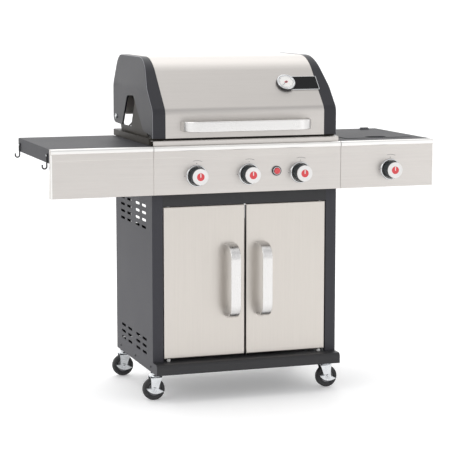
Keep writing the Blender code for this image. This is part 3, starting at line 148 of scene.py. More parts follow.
# Turned profiles, as (radius, distance along the axis).
HINGE_BOLT = ((0, 0.0), (0.0084, 0.0), (0.0084, 0.0022), (0.0074, 0.0036), (0.0040, 0.0045), (0, 0.0045))
DOOR_TOP_PIN = ((0, 0.650), (0.003, 0.650), (0.003, 0.6660), (0.0025, 0.6665), (0, 0.6665))
DOOR_LOW_PIN = ((0, 0.1310), (0.0025, 0.1310), (0.003, 0.1315), (0.003, 0.152), (0, 0.152))
DOOR_TOP_BUSH = ((0.0032, 0.6587), (0.0065, 0.6587), (0.0065, 0.6598), (0.0032, 0.6598))
DOOR_LOW_BUSH = ((0.0032, 0.1363), (0.0065, 0.1363), (0.0065, 0.1440), (0.0032, 0.1440))
HOOK_FOOT = ((0, -0.0018), (0.0055, -0.0018), (0.0062, -0.0008), (0.0062, 0.0008), (0.0055, 0.0018),
             (0, 0.0018))
KNOB_MARK = ((0, -0.0438), (0.0130, -0.0438), (0.0130, -0.0444), (0.0124, -0.0447), (0, -0.0448))
IGNITER_COLLAR = ((0.0110, -0.0040), (0.0110, 0.0220), (0.0124, 0.0220), (0.0124, -0.0004),
                  (0.0165, -0.0004), (0.0165, -0.0036), (0.0158, -0.0052), (0.0146, -0.0058),
                  (0.0136, -0.0055), (0.0134, -0.0040))
IGNITER_RING = ((0.0110, -0.0039), (0.0133, -0.0039), (0.0133, -0.0060), (0.0128, -0.0066), (0.0116, -0.0066),
                (0.0110, -0.0060))
IGNITER_CAP = ((0, 0.0140), (0.0104, 0.0140), (0.0104, -0.0088), (0.0100, -0.0097), (0.0088, -0.0103),
               (0.0060, -0.0104), (0.0040, -0.0100), (0, -0.0098))
COVER_KNUCKLE = ((0, -0.015), (0.0036, -0.015), (0.0040, -0.0146), (0.0040, 0.0146), (0.0036, 0.015),
                 (0, 0.015))
CASTER_RACE = ((0, 0.0822), (0.0196, 0.0822), (0.0204, 0.0835), (0.0196, 0.0858), (0.0168, 0.0880),
               (0.0160, 0.0930), (0.0120, 0.0942), (0.0075, 0.0944), (0.0075, 0.1000), (0.0050, 0.1003),
               (0.0050, 0.1280), (0, 0.1280))
CASTER_AXLE = ((0, -0.0235), (0.0030, -0.0233), (0.0040, -0.0226), (0.0040, 0.0186), (0, 0.0186))
BRAKE_BOSS = ((0.0043, -0.0030), (0.0070, -0.0030), (0.0076, -0.0024), (0.0080, -0.0010), (0.0043, -0.0010))


# ---- shader expressions ----
class Value:
    """A socket in a material that takes part in Python sums; every operation adds its node."""

    def __init__(self, shader, socket):
        self.shader, self.socket = shader, socket

    def math(self, operation, *others, clamp=False):
        inputs = dict(enumerate((self, *others)))
        return self.shader.node("ShaderNodeMath", {"operation": operation, "use_clamp": clamp}, inputs)

    def __add__(self, other):
        return self.math("ADD", other)

    __radd__ = __add__

    def __mul__(self, other):
        return self.math("MULTIPLY", other)

    __rmul__ = __mul__

    def __sub__(self, other):
        return self.math("SUBTRACT", other)

    def __rsub__(self, other):
        return self.shader.node("ShaderNodeMath", {"operation": "SUBTRACT"}, {0: other, 1: self})

    def __truediv__(self, other):
        return self.math("DIVIDE", other)

    def above(self, edge, softness):
        """0 below edge, 1 above it, with a linear change as wide as softness."""
        return ((self - edge) / softness + 0.5).math("ADD", 0.0, clamp=True)


class Shader:
    """A node material under construction."""

    def __init__(self, name, world=False):
        self.material = (bpy.data.worlds if world else bpy.data.materials).new(name)
        self.material.use_nodes = True
        self.tree = self.material.node_tree
        self.tree.nodes.clear()
        self.column = 0

    def node(self, kind, settings=None, inputs=None, output=0):
        """Add a node: settings are its own properties or a ramp's stops, inputs are values or links."""
        made = self.tree.nodes.new(kind)
        self.column += 1
        made.location = (180 * self.column, -40 * (self.column % 5))
        for key, value in (settings or {}).items():
            if key == "stops":
                ramp = made.color_ramp
                while len(ramp.elements) < len(value):
                    ramp.elements.new(0.5)
                for element, (position, colour) in zip(ramp.elements, value):
                    element.position, element.color = position, (*colour, 1.0)
            else:
                setattr(made, key, value)
        for key, value in (inputs or {}).items():
            socket = made.inputs[key]
            if isinstance(value, Value):
                self.tree.links.new(value.socket, socket)
            elif hasattr(socket.default_value, "__len__") and len(socket.default_value) == 4:
                socket.default_value = (*value[:3], 1.0)
            else:
                socket.default_value = value
        return Value(self, made.outputs[output])

    def place(self, stretch=(1, 1, 1)):
        """Object coordinates, stretched along each axis."""
        place = self.node("ShaderNodeTexCoord", output="Object")
        return self.node("ShaderNodeVectorMath", {"operation": "MULTIPLY"}, {0: place, 1: stretch})

    def noise(self, place, scale, detail=2.0, roughness=0.5):
        return self.node("ShaderNodeTexNoise", inputs={"Vector": place, "Scale": scale, "Detail": detail,
                                                       "Roughness": roughness})

    def blend(self, factor, low, high):
        """Colour that goes from low to high with the factor."""
        return self.node("ShaderNodeMix", {"data_type": "RGBA"}, {0: factor, 6: low, 7: high}, output=2)

    def bump(self, height, distance):
        return self.node("ShaderNodeBump", inputs={"Height": height, "Distance": distance,
                                                   "Strength": 1.0})

    def finish(self, **inputs):
        """Principled surface; keys are socket names with _ for a space."""
        named = {key.replace("_", " "): value for key, value in inputs.items()}
        surface = self.node("ShaderNodeBsdfPrincipled", inputs=named)
        out = self.tree.nodes.new("ShaderNodeOutputMaterial")
        self.tree.links.new(surface.socket, out.inputs["Surface"])
        return self.material


def shade(colour, amount):
    """Colour times a number."""
    return tuple(part * amount for part in colour)


def brushed(name, colour, roughness, stretch, contrast=1.0):
    """Brushed steel: long fine lines along the short stretch, wider bands and faint clouds."""
    s = Shader(name)
    lines = s.noise(s.place(stretch), 1400.0, detail=3.0, roughness=0.6)
    bands = s.noise(s.place(stretch), 160.0, detail=2.0)
    clouds = s.noise(s.place(), 7.0)
    tone = (lines * 0.45 + bands * 0.35 + clouds * 0.2).above(0.5, 0.5)
    base = s.blend(tone, shade(colour, 1 - 0.07 * contrast), shade(colour, 1 + 0.06 * contrast))
    rough = lines * 0.10 * contrast + clouds * 0.06 + (roughness - 0.08)
    return s.finish(Base_Color=base, Metallic=1.0, Roughness=rough,
                    Normal=s.bump(lines, 0.00002 * contrast))


def painted(name, colour, roughness, grain=900.0, relief=0.00006, spread=0.10, specular=0.35):
    """Powder coat or enamel: fine orange peel, faint clouds and dust in the tone."""
    s = Shader(name)
    peel = s.noise(s.place(), grain, detail=2.0)
    clouds = s.noise(s.place(), 5.0, detail=3.0)
    specks = s.noise(s.place(), 260.0, detail=1.0)
    tone = (clouds * 0.6 + specks * 0.4).above(0.5, 0.6)
    base = s.blend(tone, shade(colour, 1 - spread), shade(colour, 1 + spread))
    rough = clouds * 0.10 + peel * 0.08 + (roughness - 0.09)
    return s.finish(Base_Color=base, Roughness=rough, Specular_IOR_Level=specular,
                    Normal=s.bump(peel, relief))


def plated(name, colour, roughness):
    """Bright plating: soft clouds in tone and gloss over a faint pickled grain."""
    s = Shader(name)
    clouds = s.noise(s.place(), 60.0, detail=3.0)
    grain = s.noise(s.place(), 1600.0)
    base = s.blend(clouds.above(0.5, 0.4), shade(colour, 0.88), shade(colour, 1.04))
    return s.finish(Base_Color=base, Metallic=1.0, Roughness=clouds * 0.14 + (roughness - 0.07),
                    Normal=s.bump(grain, 0.00003))


def spangled(name, colour):
    """Hot-dip zinc: flat crystals that differ in tone and gloss."""
    s = Shader(name)
    cells = s.node("ShaderNodeTexVoronoi", inputs={"Vector": s.place(), "Scale": 110.0}, output="Color")
    tone = s.node("ShaderNodeRGBToBW", inputs={0: cells})
    base = s.blend(tone, shade(colour, 0.82), shade(colour, 1.08))
    return s.finish(Base_Color=base, Metallic=1.0, Roughness=tone * 0.2 + 0.28)


def cast(name, colour):
    """Enamelled iron casting: pitted, matt, worn lighter on its high spots."""
    s = Shader(name)
    pits = s.noise(s.place(), 520.0, detail=5.0, roughness=0.65)
    clouds = s.noise(s.place(), 22.0, detail=3.0)
    base = s.blend((pits * 0.5 + clouds * 0.5).above(0.52, 0.3), shade(colour, 0.7), shade(colour, 1.5))
    return s.finish(Base_Color=base, Roughness=pits * 0.25 + 0.42, Normal=s.bump(pits, 0.00035))


def moulded(name, colour, roughness, coat=0.0, spread=0.08, specular=0.5):
    """Moulded plastic or rubber: even colour with a light satin grain."""
    s = Shader(name)
    grained = s.noise(s.place(), 700.0, detail=2.0)
    clouds = s.noise(s.place(), 35.0)
    base = s.blend(clouds, shade(colour, 1 - spread), shade(colour, 1 + spread))
    return s.finish(Base_Color=base, Roughness=grained * 0.12 + (roughness - 0.06),
                    Specular_IOR_Level=specular, Coat_Weight=coat, Coat_Roughness=0.08,
                    Normal=s.bump(grained, 0.00003))


def tyre_rubber(name, colour):
    """Wheel rubber: black with patches of grey dust spread by noise."""
    s = Shader(name)
    grained = s.noise(s.place(), 500.0, detail=3.0)
    dust = s.noise(s.place(), 90.0, detail=4.0)
    base = s.blend(dust.above(0.55, 0.3), colour, shade(colour, 2.2))
    return s.finish(Base_Color=base, Roughness=dust * 0.2 + 0.6, Normal=s.bump(grained, 0.00008))


ALONG_X, ALONG_Z = (0.02, 1.0, 1.0), (1.0, 1.0, 0.02)
FINISH = {}      # name: (material, slot of the record)


def add_finishes(colours):
    """Make every material once."""
    steel, warm, handle = colours.steel, colours.door_steel, colours.handle_steel
    coat, slate = "black_powder_coat", "slate_enamel"
    table = (    # name, slot of the record, maker, its values, its options
        ("panel_steel", "stainless", brushed, steel, 0.36, ALONG_X),
        # Lighter steel for the panels' rolled edges and end strips: a painted highlight.
        ("bright_edge", "stainless", brushed, (0.86, 0.85, 0.83), 0.36, ALONG_X, 0.4),
        ("hood_steel", "stainless", brushed, shade(steel, 0.92), 0.38, ALONG_X, 0.8),
        ("door_steel", "stainless", brushed, warm, 0.34, ALONG_Z, 0.8),
        ("burner_steel", "stainless", brushed, shade(steel, 0.8), 0.4, ALONG_X),
        ("handle_steel", "satin_handles", brushed, handle, 0.30, ALONG_X, 0.5),
        ("handle_steel_upright", "satin_handles", brushed, handle, 0.30, ALONG_Z, 0.5),
        ("rack_wire", "rack_wire", plated, (0.72, 0.72, 0.73), 0.22),
        ("knob_face", "knob_face", moulded, colours.knob_face, 0.34, dict(coat=0.4, spread=0.02)),
        ("knob_side", "black_plastic", moulded, (0.018, 0.024, 0.027), 0.42, dict(specular=0.3)),
        ("red_mark", "red_button", moulded, colours.red, 0.35, dict(coat=0.5)),
        ("bezel", "knob_face", plated, (0.66, 0.67, 0.68), 0.20),
        ("print", "black_plastic", moulded, (0.10, 0.10, 0.11), 0.5),
        ("frame_coat", coat, painted, colours.frame, 0.44, dict(relief=0.00008)),
        ("panel_coat", coat, painted, colours.side_panel, 0.50, dict(relief=0.00008, specular=0.25)),
        ("shelf_coat", coat, painted, colours.shelf, 0.55, dict(relief=0.00010, specular=0.18)),
        ("slate", slate, painted, colours.hood_caps, 0.42, dict(grain=1400.0, relief=0.00003, specular=0.18)),
        # Lighter enamel for the line along the caps' creases: a painted highlight.
        ("slate_edge", slate, painted, (0.26, 0.26, 0.28), 0.35, dict(grain=1400.0, relief=0.00003)),
        ("firebox", "firebox_enamel", painted, colours.firebox, 0.45,
         dict(grain=1100.0, relief=0.00004, spread=0.22, specular=0.15)),
        ("iron", "cast_iron", cast, (0.035, 0.035, 0.036)),
        ("zinc", "zinc_plate", plated, (0.74, 0.76, 0.78), 0.26),
        ("spangle", "zinc_plate", spangled, (0.62, 0.64, 0.66)),
        ("tyre", "wheel_rubber", tyre_rubber, (0.018, 0.018, 0.019)),
        ("hub", "wheel_rubber", moulded, (0.20, 0.20, 0.21), 0.5),
        ("brass", "brass_fittings", plated, (0.66, 0.50, 0.24), 0.30),
        ("red_button", "red_button", moulded, colours.red, 0.22, dict(coat=0.8, spread=0.03)),
        ("black_plastic", "black_plastic", moulded, (0.022, 0.022, 0.024), 0.38),
        ("dial_face", "dial", moulded, (0.80, 0.79, 0.77), 0.4, dict(spread=0.02)),
        ("badge", "dial", moulded, (0.010, 0.010, 0.011), 0.45, dict(specular=0.12)),
        ("nylon", "knob_face", moulded, (0.70, 0.70, 0.68), 0.45, dict(spread=0.03)),
    )
    for name, slot, maker, *values in table:
        options = values.pop() if isinstance(values[-1], dict) else {}
        FINISH[name] = maker(name, *values, **options), slot


# ---- outlines ----
def arc(centre, radius, start, end, count):
    """Points on a circle from start to end, in degrees."""
    angle = np.radians(np.linspace(start, end, count))
    return np.stack([centre[0] + radius * np.cos(angle), centre[1] + radius * np.sin(angle)], 1)


def rounded_path(corners, radii, count=9):
    """Open path through the corners, each inner one cut by an arc tangent to both its sides."""
    corners = [np.array(corner, float) for corner in corners]
    parts = [corners[:1]]
    for before, corner, after, radius in zip(corners, corners[1:], corners[2:], radii):
        to_before, to_after = before - corner, after - corner
        to_before, to_after = (side / np.linalg.norm(side) for side in (to_before, to_after))
        half = math.acos(float(np.clip(to_before @ to_after, -1, 1))) / 2
        centre = corner + (to_before + to_after) / np.linalg.norm(to_before + to_after) * (
            radius / math.sin(half))
        first = corner + to_before * radius / math.tan(half) - centre
        last = corner + to_after * radius / math.tan(half) - centre
        turn = math.atan2(first[0] * last[1] - first[1] * last[0], float(first @ last))
        angle = math.atan2(first[1], first[0]) + np.linspace(0, turn, count)
        parts.append(centre + radius * np.stack([np.cos(angle), np.sin(angle)], 1))
    return np.vstack(parts + [corners[-1:]])


def offset(path, distance, closed=False):
    """Path moved to its left: each point goes along its edges' mean normal, so edges stay parallel."""
    edges = np.diff(np.vstack([path, path[:1]]) if closed else path, axis=0)
    edges = edges / np.linalg.norm(edges, axis=1, keepdims=True)
    normals = np.stack([-edges[:, 1], edges[:, 0]], 1)
    if closed:
        before, after = np.roll(normals, 1, axis=0), normals
    else:
        before, after = np.vstack([normals[:1], normals]), np.vstack([normals, normals[-1:]])
    mean = before + after
    mean = mean / np.linalg.norm(mean, axis=1, keepdims=True)
    return path + distance * mean / np.sum(mean * before, axis=1, keepdims=True)


def band(path, thickness):
    """Closed outline of a sheet whose one face follows the path."""
    return np.vstack([path, offset(path, thickness)[::-1]])


def box_outline(x_range, y_range, radius, count=6):
    """Rounded rectangle, counter-clockwise."""
    (x0, x1), (y0, y1) = x_range, y_range
    radius = max(radius, 1e-4)
    corners = ((x1, y0, 1, -1, -90), (x1, y1, 1, 1, 0), (x0, y1, -1, 1, 90), (x0, y0, -1, -1, 180))
    return np.vstack([arc((x - sx * radius, y - sy * radius), radius, start, start + 90, count)
                      for x, y, sx, sy, start in corners])


def inset_box(x_range, y_range, inset, corner, least, count):
    """Rounded rectangle drawn in by an inset, or let out by a negative one, with a least corner radius."""
    return box_outline((x_range[0] + inset, x_range[1] - inset), (y_range[0] + inset, y_range[1] - inset),
                       max(corner - inset, least), count)


def quarter_round(radius, count):
    """Quarter circle over a rim, as (inset, drop) from the flat face out to the side."""
    angle = np.linspace(0, math.pi / 2, count)
    return list(zip(radius * (1 - np.sin(angle)), radius * (1 - np.cos(angle))))


def turned(outline, angle):
    """Flat points turned about the origin."""
    c, s = math.cos(angle), math.sin(angle)
    return outline @ np.array([[c, s], [-s, c]])


def shares(path):
    """Share of a path's length that lies before each of its points."""
    length = np.concatenate([[0], np.cumsum(np.linalg.norm(np.diff(path, axis=0), axis=1))])
    return length / length[-1]


def respaced(path, fractions):
    """Points of a path at the given fractions of its length."""
    return np.stack([np.interp(fractions, shares(path), column) for column in path.T], 1)


def lifted(outline, axis, along):
    """A flat outline set in space across an axis, at a distance along it."""
    order = {"X": (2, 0, 1), "Y": (0, 2, 1), "Z": (0, 1, 2)}[axis]
    flat = np.column_stack([outline, np.full(len(outline), float(along))])
    return flat[:, order]


# ---- shells ----
class Shape:
    """Closed shells, worked out as whole arrays, that become one mesh."""

    def __init__(self):
        self.points, self.faces, self.count = [], [], 0

    def loft(self, loops, ring=False):
        """Skin over closed loops of equal length; the first and last are closed, or joined as a ring."""
        loops = np.asarray(loops, float)
        rows, columns = loops.shape[:2]
        index = np.arange(rows * columns).reshape(rows, columns) + self.count
        wrapped = np.hstack([index, index[:, :1]])
        if ring:
            wrapped = np.vstack([wrapped, wrapped[:1]])
        quads = np.stack([wrapped[:-1, :-1], wrapped[1:, :-1], wrapped[1:, 1:], wrapped[:-1, 1:]], -1)
        self.faces += quads.reshape(-1, 4).tolist()
        if not ring:
            self.faces += [index[0].tolist(), index[-1, ::-1].tolist()]
        self.points.append(loops.reshape(-1, 3))
        self.count += rows * columns
        return self

    def along(self, outline, axis, stations):
        """Outline carried straight along an axis."""
        return self.loft([lifted(outline, axis, at) for at in stations])

    def slab(self, outline, axis, low, high, edge=0.0005, steps=3):
        """Flat plate with its two rims rounded by quarter arcs; the outline runs counter-clockwise."""
        rim = quarter_round(edge, steps + 1)
        heights = [(d, low + h) for d, h in rim] + [(d, high - h) for d, h in rim[::-1]]
        return self.loft([lifted(offset(outline, d, closed=True), axis, at) for d, at in heights])

    def lathe(self, profile, centre, axis, sides=48, closed=False):
        """Profile of (radius, height) turned about an axis through the centre."""
        profile = np.array(profile, float)
        angle = np.linspace(0, 2 * math.pi, sides, endpoint=False)
        radius, height = profile[:, :1], profile[:, 1:] + np.zeros(sides)
        u, v = radius * np.cos(angle), radius * np.sin(angle)
        order = {"X": (height, u, v), "Y": (u, height, v), "Z": (u, v, height)}[axis]
        return self.loft(np.stack(order, -1) + np.array(centre, float), ring=closed)

    def tube(self, path, radius, sides=14, across=(0, 1, 0)):
        """Round wire along a path in space: a ring square to its direction at every point."""
        path = np.array(path, float)
        step = np.gradient(path, axis=0)
        step /= np.linalg.norm(step, axis=1, keepdims=True)
        side = np.cross(step, across)
        side /= np.linalg.norm(side, axis=1, keepdims=True)
        up = np.cross(side, step)
        angle = np.linspace(0, 2 * math.pi, sides, endpoint=False)[:, None]
        return self.loft([centre + radius * (np.cos(angle) * wide + np.sin(angle) * high)
                          for centre, wide, high in zip(path, side, up)])

    def moved(self, matrix, place):
        """Turn all points by a matrix and move them."""
        self.points = [points @ np.array(matrix, float).T + np.array(place, float)
                       for points in self.points]
        return self

    def piece(self, name, finish, body, *nodes, sharp=SHARP_EDGE):
        """Make the mesh, turn its faces outwards, give it a finish and hang it on its body."""
        mesh = bpy.data.meshes.new(name)
        mesh.from_pydata((np.vstack(self.points) + ORIGIN).tolist(), [], self.faces)
        return settle(mesh, name, finish, body, nodes, sharp)


def settle(mesh, name, finish, body, nodes, sharp):
    """Weld, face outwards, shade and place a finished mesh."""
    bm = bmesh.new()
    bm.from_mesh(mesh)
    bmesh.ops.remove_doubles(bm, verts=bm.verts, dist=2e-6)
    bmesh.ops.recalc_face_normals(bm, faces=bm.faces)
    bm.to_mesh(mesh)
    bm.free()
    mesh.shade_smooth()
    mesh.set_sharp_from_angle(angle=math.radians(sharp))
    made = bpy.data.objects.new(name, mesh)
    bpy.context.scene.collection.objects.link(made)
    material, slot = FINISH[finish]
    mesh.materials.append(material)
    evened = made.modifiers.new("even_normals", "WEIGHTED_NORMAL")
    evened.keep_sharp = True
    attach(made, body)
    if nodes:
        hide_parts(*nodes)
    return made


def smoothed(node, finish, bevel=0.0):
    """Welded copy of a frame node with even shading and, if asked, a rounded rim on its folds."""
    source = frame["nodes"][node]
    mesh = source.data.copy()
    mesh.materials.clear()
    bm = bmesh.new()
    bm.from_mesh(mesh)
    bmesh.ops.remove_doubles(bm, verts=bm.verts, dist=1e-6)
    bmesh.ops.dissolve_limit(bm, angle_limit=math.radians(0.3), verts=bm.verts, edges=bm.edges)
    bm.to_mesh(mesh)
    bm.free()
    made = settle(mesh, node + "_skin", finish, source["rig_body"], (node,), SHARP_EDGE)
    if bevel:
        rim = made.modifiers.new("rim", "BEVEL")
        rim.width, rim.segments, rim.limit_method = bevel, 2, "ANGLE"
        rim.angle_limit = math.radians(SHARP_EDGE)
        rim.use_clamp_overlap = True
        made.modifiers.move(len(made.modifiers) - 1, 0)
    return made


def refinish(node, finish):
    """Give a frame node that is shown as it is its finish."""
    data = frame["nodes"][node].data
    data.materials.clear()
    data.materials.append(FINISH[finish][0])


# ---- hood ----
def hood_section():
    """Outer section of the hood as (y, z): front, slope, brow, top and back down to its rear edge."""
    few, many = 12, 30
    front, top, rear = SKIN_LOW[1], SKIN_HIGH[2], SKIN_HIGH[1]
    brow = front + (top - HOOD_BREAK) / math.tan(HOOD_SLOPE)
    corners = [(front, SKIN_LOW[2]), (front, HOOD_BREAK), (brow, top), (rear, top), (rear, HOOD_REAR_EDGE)]
    first = rounded_path(corners[:3], HOOD_RADII[:1], few)[:-1]
    second = rounded_path(corners[1:4], HOOD_RADII[1:2], many)[1:-1]
    third = rounded_path(corners[2:], HOOD_RADII[2:], few)[1:]
    return np.vstack([first, second, third])


def lean(z):
    """How far a hood cap's wall leans in at a height: nothing low down, then evenly."""
    return CAP_LEAN * np.maximum(0.0, z - CAP_LEAN_FROM)


class GRILL_OT_hood_skin(bpy.types.Operator):
    """Curved hood sheet with a folded lower edge"""
    bl_idname = "grill.hood_skin"
    bl_label = "Hood skin"

    def execute(self, context):
        half = SKIN_HIGH[0] - 0.0001
        section = hood_section()
        fold = np.array([[SKIN_LOW[1] + 0.012, SKIN_LOW[2]]])
        outline = band(np.vstack([fold, section]), -SHEET)
        Shape().along(outline, "X", (-half, half)).piece("hood_sheet", "hood_steel", "hood", "hood_skin",
                                                         sharp=SHARP_FOLD)
        return {"FINISHED"}


class GRILL_OT_hood_caps(bpy.types.Operator):
    """Two enamelled hood ends, a band round a notched wall, with a lighter line along each crease as a
    painted highlight, and the hinge bolts
    """
    bl_idname = "grill.hood_caps"
    bl_label = "Hood caps"

    def execute(self, context):
        band_inner, crease = CAP_LOW[0], CAP_HIGH[0]
        tail = arc((SKIN_HIGH[1] - CAP_TAIL_RADIUS, CAP_TAIL_Z), CAP_TAIL_RADIUS, 0, -75, 9)
        outer = np.vstack([hood_section()[:-1], tail])
        # Rounded, so that no two rows fall on one place and leave their normal without a direction.
        rows = np.round(np.concatenate([shares(outer), np.linspace(0, 1, 60)]), 9)
        outer = respaced(outer, np.unique(rows))
        facing = np.interp(shares(outer), OUTER_SHARES, NOTCH_SHARES)
        inner = respaced(rounded_path(CAP_NOTCH, NOTCH_RADII), facing)
        normal = offset(outer, -1.0) - outer
        normal /= np.linalg.norm(normal, axis=1, keepdims=True)
        start = outer + CAP_CREASE * normal
        depth = np.linalg.norm(inner - start, axis=1)[:, None] + CAP_CREASE
        # The band ends level with the skin's rear edge: it narrows to the crease within the corner.
        narrow = np.clip((outer[:, 1] - CAP_TAIL_Z + 0.004) / 0.006, 0, 1) + (outer[:, 0] < HOOD_MIDDLE_Y)
        narrow = np.clip(narrow, 0, 1)[:, None]
        base = crease - CAP_CREASE - 0.0005
        band_x = base + (band_inner - base) * narrow
        round_steps = np.radians(np.linspace(0, 90, 5))
        wall_steps = np.linspace(0, 1, 13)[1:]

        def section(radius, wall):
            """One side of the wall as (x, depth): band, crease, wall, and the fold at the notch."""
            top = CAP_CREASE - radius
            arcs_x = crease - CAP_CREASE + radius * np.sin(round_steps) + 0 * depth
            arcs_s = CAP_CREASE - radius * np.cos(round_steps) + 0 * depth
            walls_s = CAP_CREASE + (depth - wall - CAP_CREASE) * wall_steps
            walls_x = crease - wall + 0 * walls_s
            x = np.hstack([band_x, arcs_x, walls_x, crease - CAP_RETURN + 0 * depth])
            s = np.hstack([top + 0 * depth, arcs_s, walls_s, depth - wall])
            return x, s

        out_x, out_s = section(CAP_CREASE, 0.0)
        in_x, in_s = section(CAP_CREASE - CAP_WALL, CAP_WALL)
        x = np.hstack([out_x, in_x[:, ::-1]])
        s = np.hstack([out_s, in_s[:, ::-1]])[..., None]
        inwards = np.minimum(s, CAP_CREASE) * normal[:, None]
        onwards = np.clip((s - CAP_CREASE) / (depth - CAP_CREASE)[..., None], 0, 1) * (inner - start)[:, None]
        flat = outer[:, None] + inwards + onwards
        share = np.clip((x - band_inner) / (crease - band_inner), 0, 1)
        moved_x = x - lean(flat[..., 1]) * share
        for label, side in (("left", -1), ("right", 1)):
            loops = np.stack([side * moved_x, flat[..., 0], flat[..., 1]], -1)
            Shape().loft(loops).piece(f"hood_{label}_end", "slate", "hood", f"hood_{label}_cap",
                                      sharp=SHARP_FOLD)
            # A thin tube of lighter enamel along each crease: a painted highlight where the crease catches
            # the light.
            worn = CAP_CREASE * (1 - math.sqrt(0.5))
            line = outer + worn * normal
            path = np.column_stack([side * (crease - worn - lean(line[:, 1])), line])
            Shape().tube(path, WORN_EDGE, 10, (1, 0, 0)).piece(f"hood_{label}_edge", "slate_edge", "hood")
            bolt = [(radius, side * height) for radius, height in HINGE_BOLT]
            Shape().lathe(bolt, (side * (crease + 0.0003), *HOOD_BOLT), "X", 36).piece(
                f"hinge_{label}_bolt", "zinc", "cart")
        return {"FINISHED"}


def bow_loops(ends, depths, width, bend, count):
    """Loops of a bow handle, as (along, depth, across): a rounded flat bar carried along its middle line,
    which goes foot, large bend, grip, large bend, foot."""
    half = HANDLE_BAR / 2
    (start, end), (face, foot) = (ends[0] + half, ends[1] - half), (depths[0] + half, depths[1] - 0.0001)
    path = rounded_path([(start, foot), (start, face), (end, face), (end, foot)], (bend, bend), count)
    section = box_outline((-half, half), (-width / 2, width / 2), HANDLE_EDGE, 5)
    normal = offset(path, 1.0) - path
    flat = path[:, None, :] + normal[:, None, :] * section[None, :, :1]
    across = np.broadcast_to(section[None, :, 1:], flat[..., :1].shape)
    return np.concatenate([flat, across], -1)


class GRILL_OT_handles(bpy.types.Operator):
    """Satin bow handles of the hood and the two doors"""
    bl_idname = "grill.handles"
    bl_label = "Handles"

    def execute(self, context):
        low, high = limits("hood_handle")
        loops = bow_loops((low[0], high[0]), (low[1], high[1]), high[2] - low[2], HOOD_BOW_BEND, 23)
        middle = (low[2] + high[2]) / 2
        bar = Shape().loft(np.stack([loops[..., 0], loops[..., 1], loops[..., 2] + middle], -1))
        bar.piece("hood_bow", "handle_steel", "hood", "hood_handle")
        for label in ("left", "right"):
            low, high = limits(f"{label}_door_handle")
            loops = bow_loops((low[2], high[2]), (low[1], high[1]), high[0] - low[0], DOOR_BOW_BEND, 17)
            middle = (low[0] + high[0]) / 2
            bar = Shape().loft(np.stack([loops[..., 2] + middle, loops[..., 1], loops[..., 0]], -1))
            bar.piece(f"{label}_door_bow", "handle_steel_upright", f"{label}_door", f"{label}_door_handle")
        return {"FINISHED"}


class GRILL_OT_thermometer(bpy.types.Operator):
    """Round dial with ring, ticks and needle on a black plate with a bright rim"""
    bl_idname = "grill.thermometer"
    bl_label = "Thermometer"

    def execute(self, context):
        place = (DIAL_X, SKIN_LOW[1] + DIAL_RISE / math.tan(HOOD_SLOPE), HOOD_BREAK + DIAL_RISE)
        c, s = math.cos(HOOD_SLOPE), math.sin(HOOD_SLOPE)
        turn = ((1, 0, 0), (0, c, -s), (0, s, c))

        def put(shape, name, finish, *nodes):
            shape.moved(turn, place).piece(name, finish, "hood", *nodes)

        end, half, rim = PLATE_END, PLATE_HALF, PLATE_RIM
        plate = box_outline((0.0, end), (-half, half), 0.004)
        put(Shape().slab(plate, "Z", 0.0003, 0.0030, 0.0008), "badge_rim", "bezel")
        inner = box_outline((0.0, end - rim), (rim - half, half - rim), 0.002)
        put(Shape().slab(inner, "Z", 0.0028, 0.0036, 0.0003), "badge_plate", "badge")
        radius, face_radius = DIAL_RADIUS, DIAL_FACE_RADIUS
        body = [(0, 0.0003), (radius, 0.0003), (radius, 0.0070), (radius - 0.0008, 0.0082),
                (radius - 0.003, 0.0086), (0, 0.0086)]
        put(Shape().lathe(body, (0, 0, 0), "Z"), "dial_body", "black_plastic", "thermometer")
        ring = arc((radius - 0.0042, 0.0092), 0.0034, -90, 270, 25)[:-1]
        put(Shape().lathe(ring, (0, 0, 0), "Z", closed=True), "dial_ring", "bezel")
        face = [(0, 0.0080), (face_radius, 0.0080), (face_radius, 0.0092), (face_radius - 0.0004, 0.0096),
                (0, 0.0096)]
        put(Shape().lathe(face, (0, 0, 0), "Z"), "dial_face", "dial_face")
        ticks = Shape()
        for number, degrees in enumerate(DIAL_ANGLES):
            long = SHORT_TICK if number % 4 else LONG_TICK
            bar = box_outline((0.0248 - long, 0.0248), (-0.0003, 0.0003), 0.0001, 2)
            ticks.along(turned(bar, math.radians(degrees)), "Z", (0.0095, 0.00985))
        put(ticks, "dial_ticks", "print")
        mark = box_outline((-0.0062, 0.0062), (-0.0040, 0.0040), 0.0036)
        mark = turned(mark, math.radians(28))
        put(Shape().slab(mark, "Z", 0.0095, 0.0101, 0.0002), "dial_mark", "red_mark")
        needle = np.array([(-0.0050, -0.0010), (0.0210, -0.0003), (0.0210, 0.0003), (-0.0050, 0.0010)])
        hand = Shape().along(turned(needle, math.radians(222)), "Z", (0.0103, 0.0107))
        hand.lathe([(0, 0.0100), (0.0022, 0.0100), (0.0022, 0.0110), (0.0016, 0.0114), (0, 0.0114)],
                   (0, 0, 0), "Z", 24)
        put(hand, "dial_needle", "print")
        return {"FINISHED"}


# ---- cabinet ----
class GRILL_OT_cabinet(bpy.types.Operator):
    """Powder-coated base, side panels, back, rails and their screws"""
    bl_idname = "grill.cabinet"
    bl_label = "Cabinet"

    def execute(self, context):
        for node, finish in (("base_tray", "frame_coat"), ("left_side_panel", "panel_coat"),
                             ("right_side_panel", "panel_coat"), ("back_panel", "panel_coat"),
                             ("front_rail", "frame_coat")):
            smoothed(node, finish)
        screws = Shape()
        for side in (-1, 1):
            for y in SIDE_SCREWS_Y:
                for z in SIDE_SCREWS_Z:
                    button(screws, (side * SIDE_PANEL_X, y, z), "X", side)
            for z in BACK_SCREWS_Z:
                button(screws, (side * BACK_SCREWS_X, BACK_PANEL_Y, z), "Y", 1)
        screws.piece("cabinet_screws", "frame_coat", "cart")
        return {"FINISHED"}


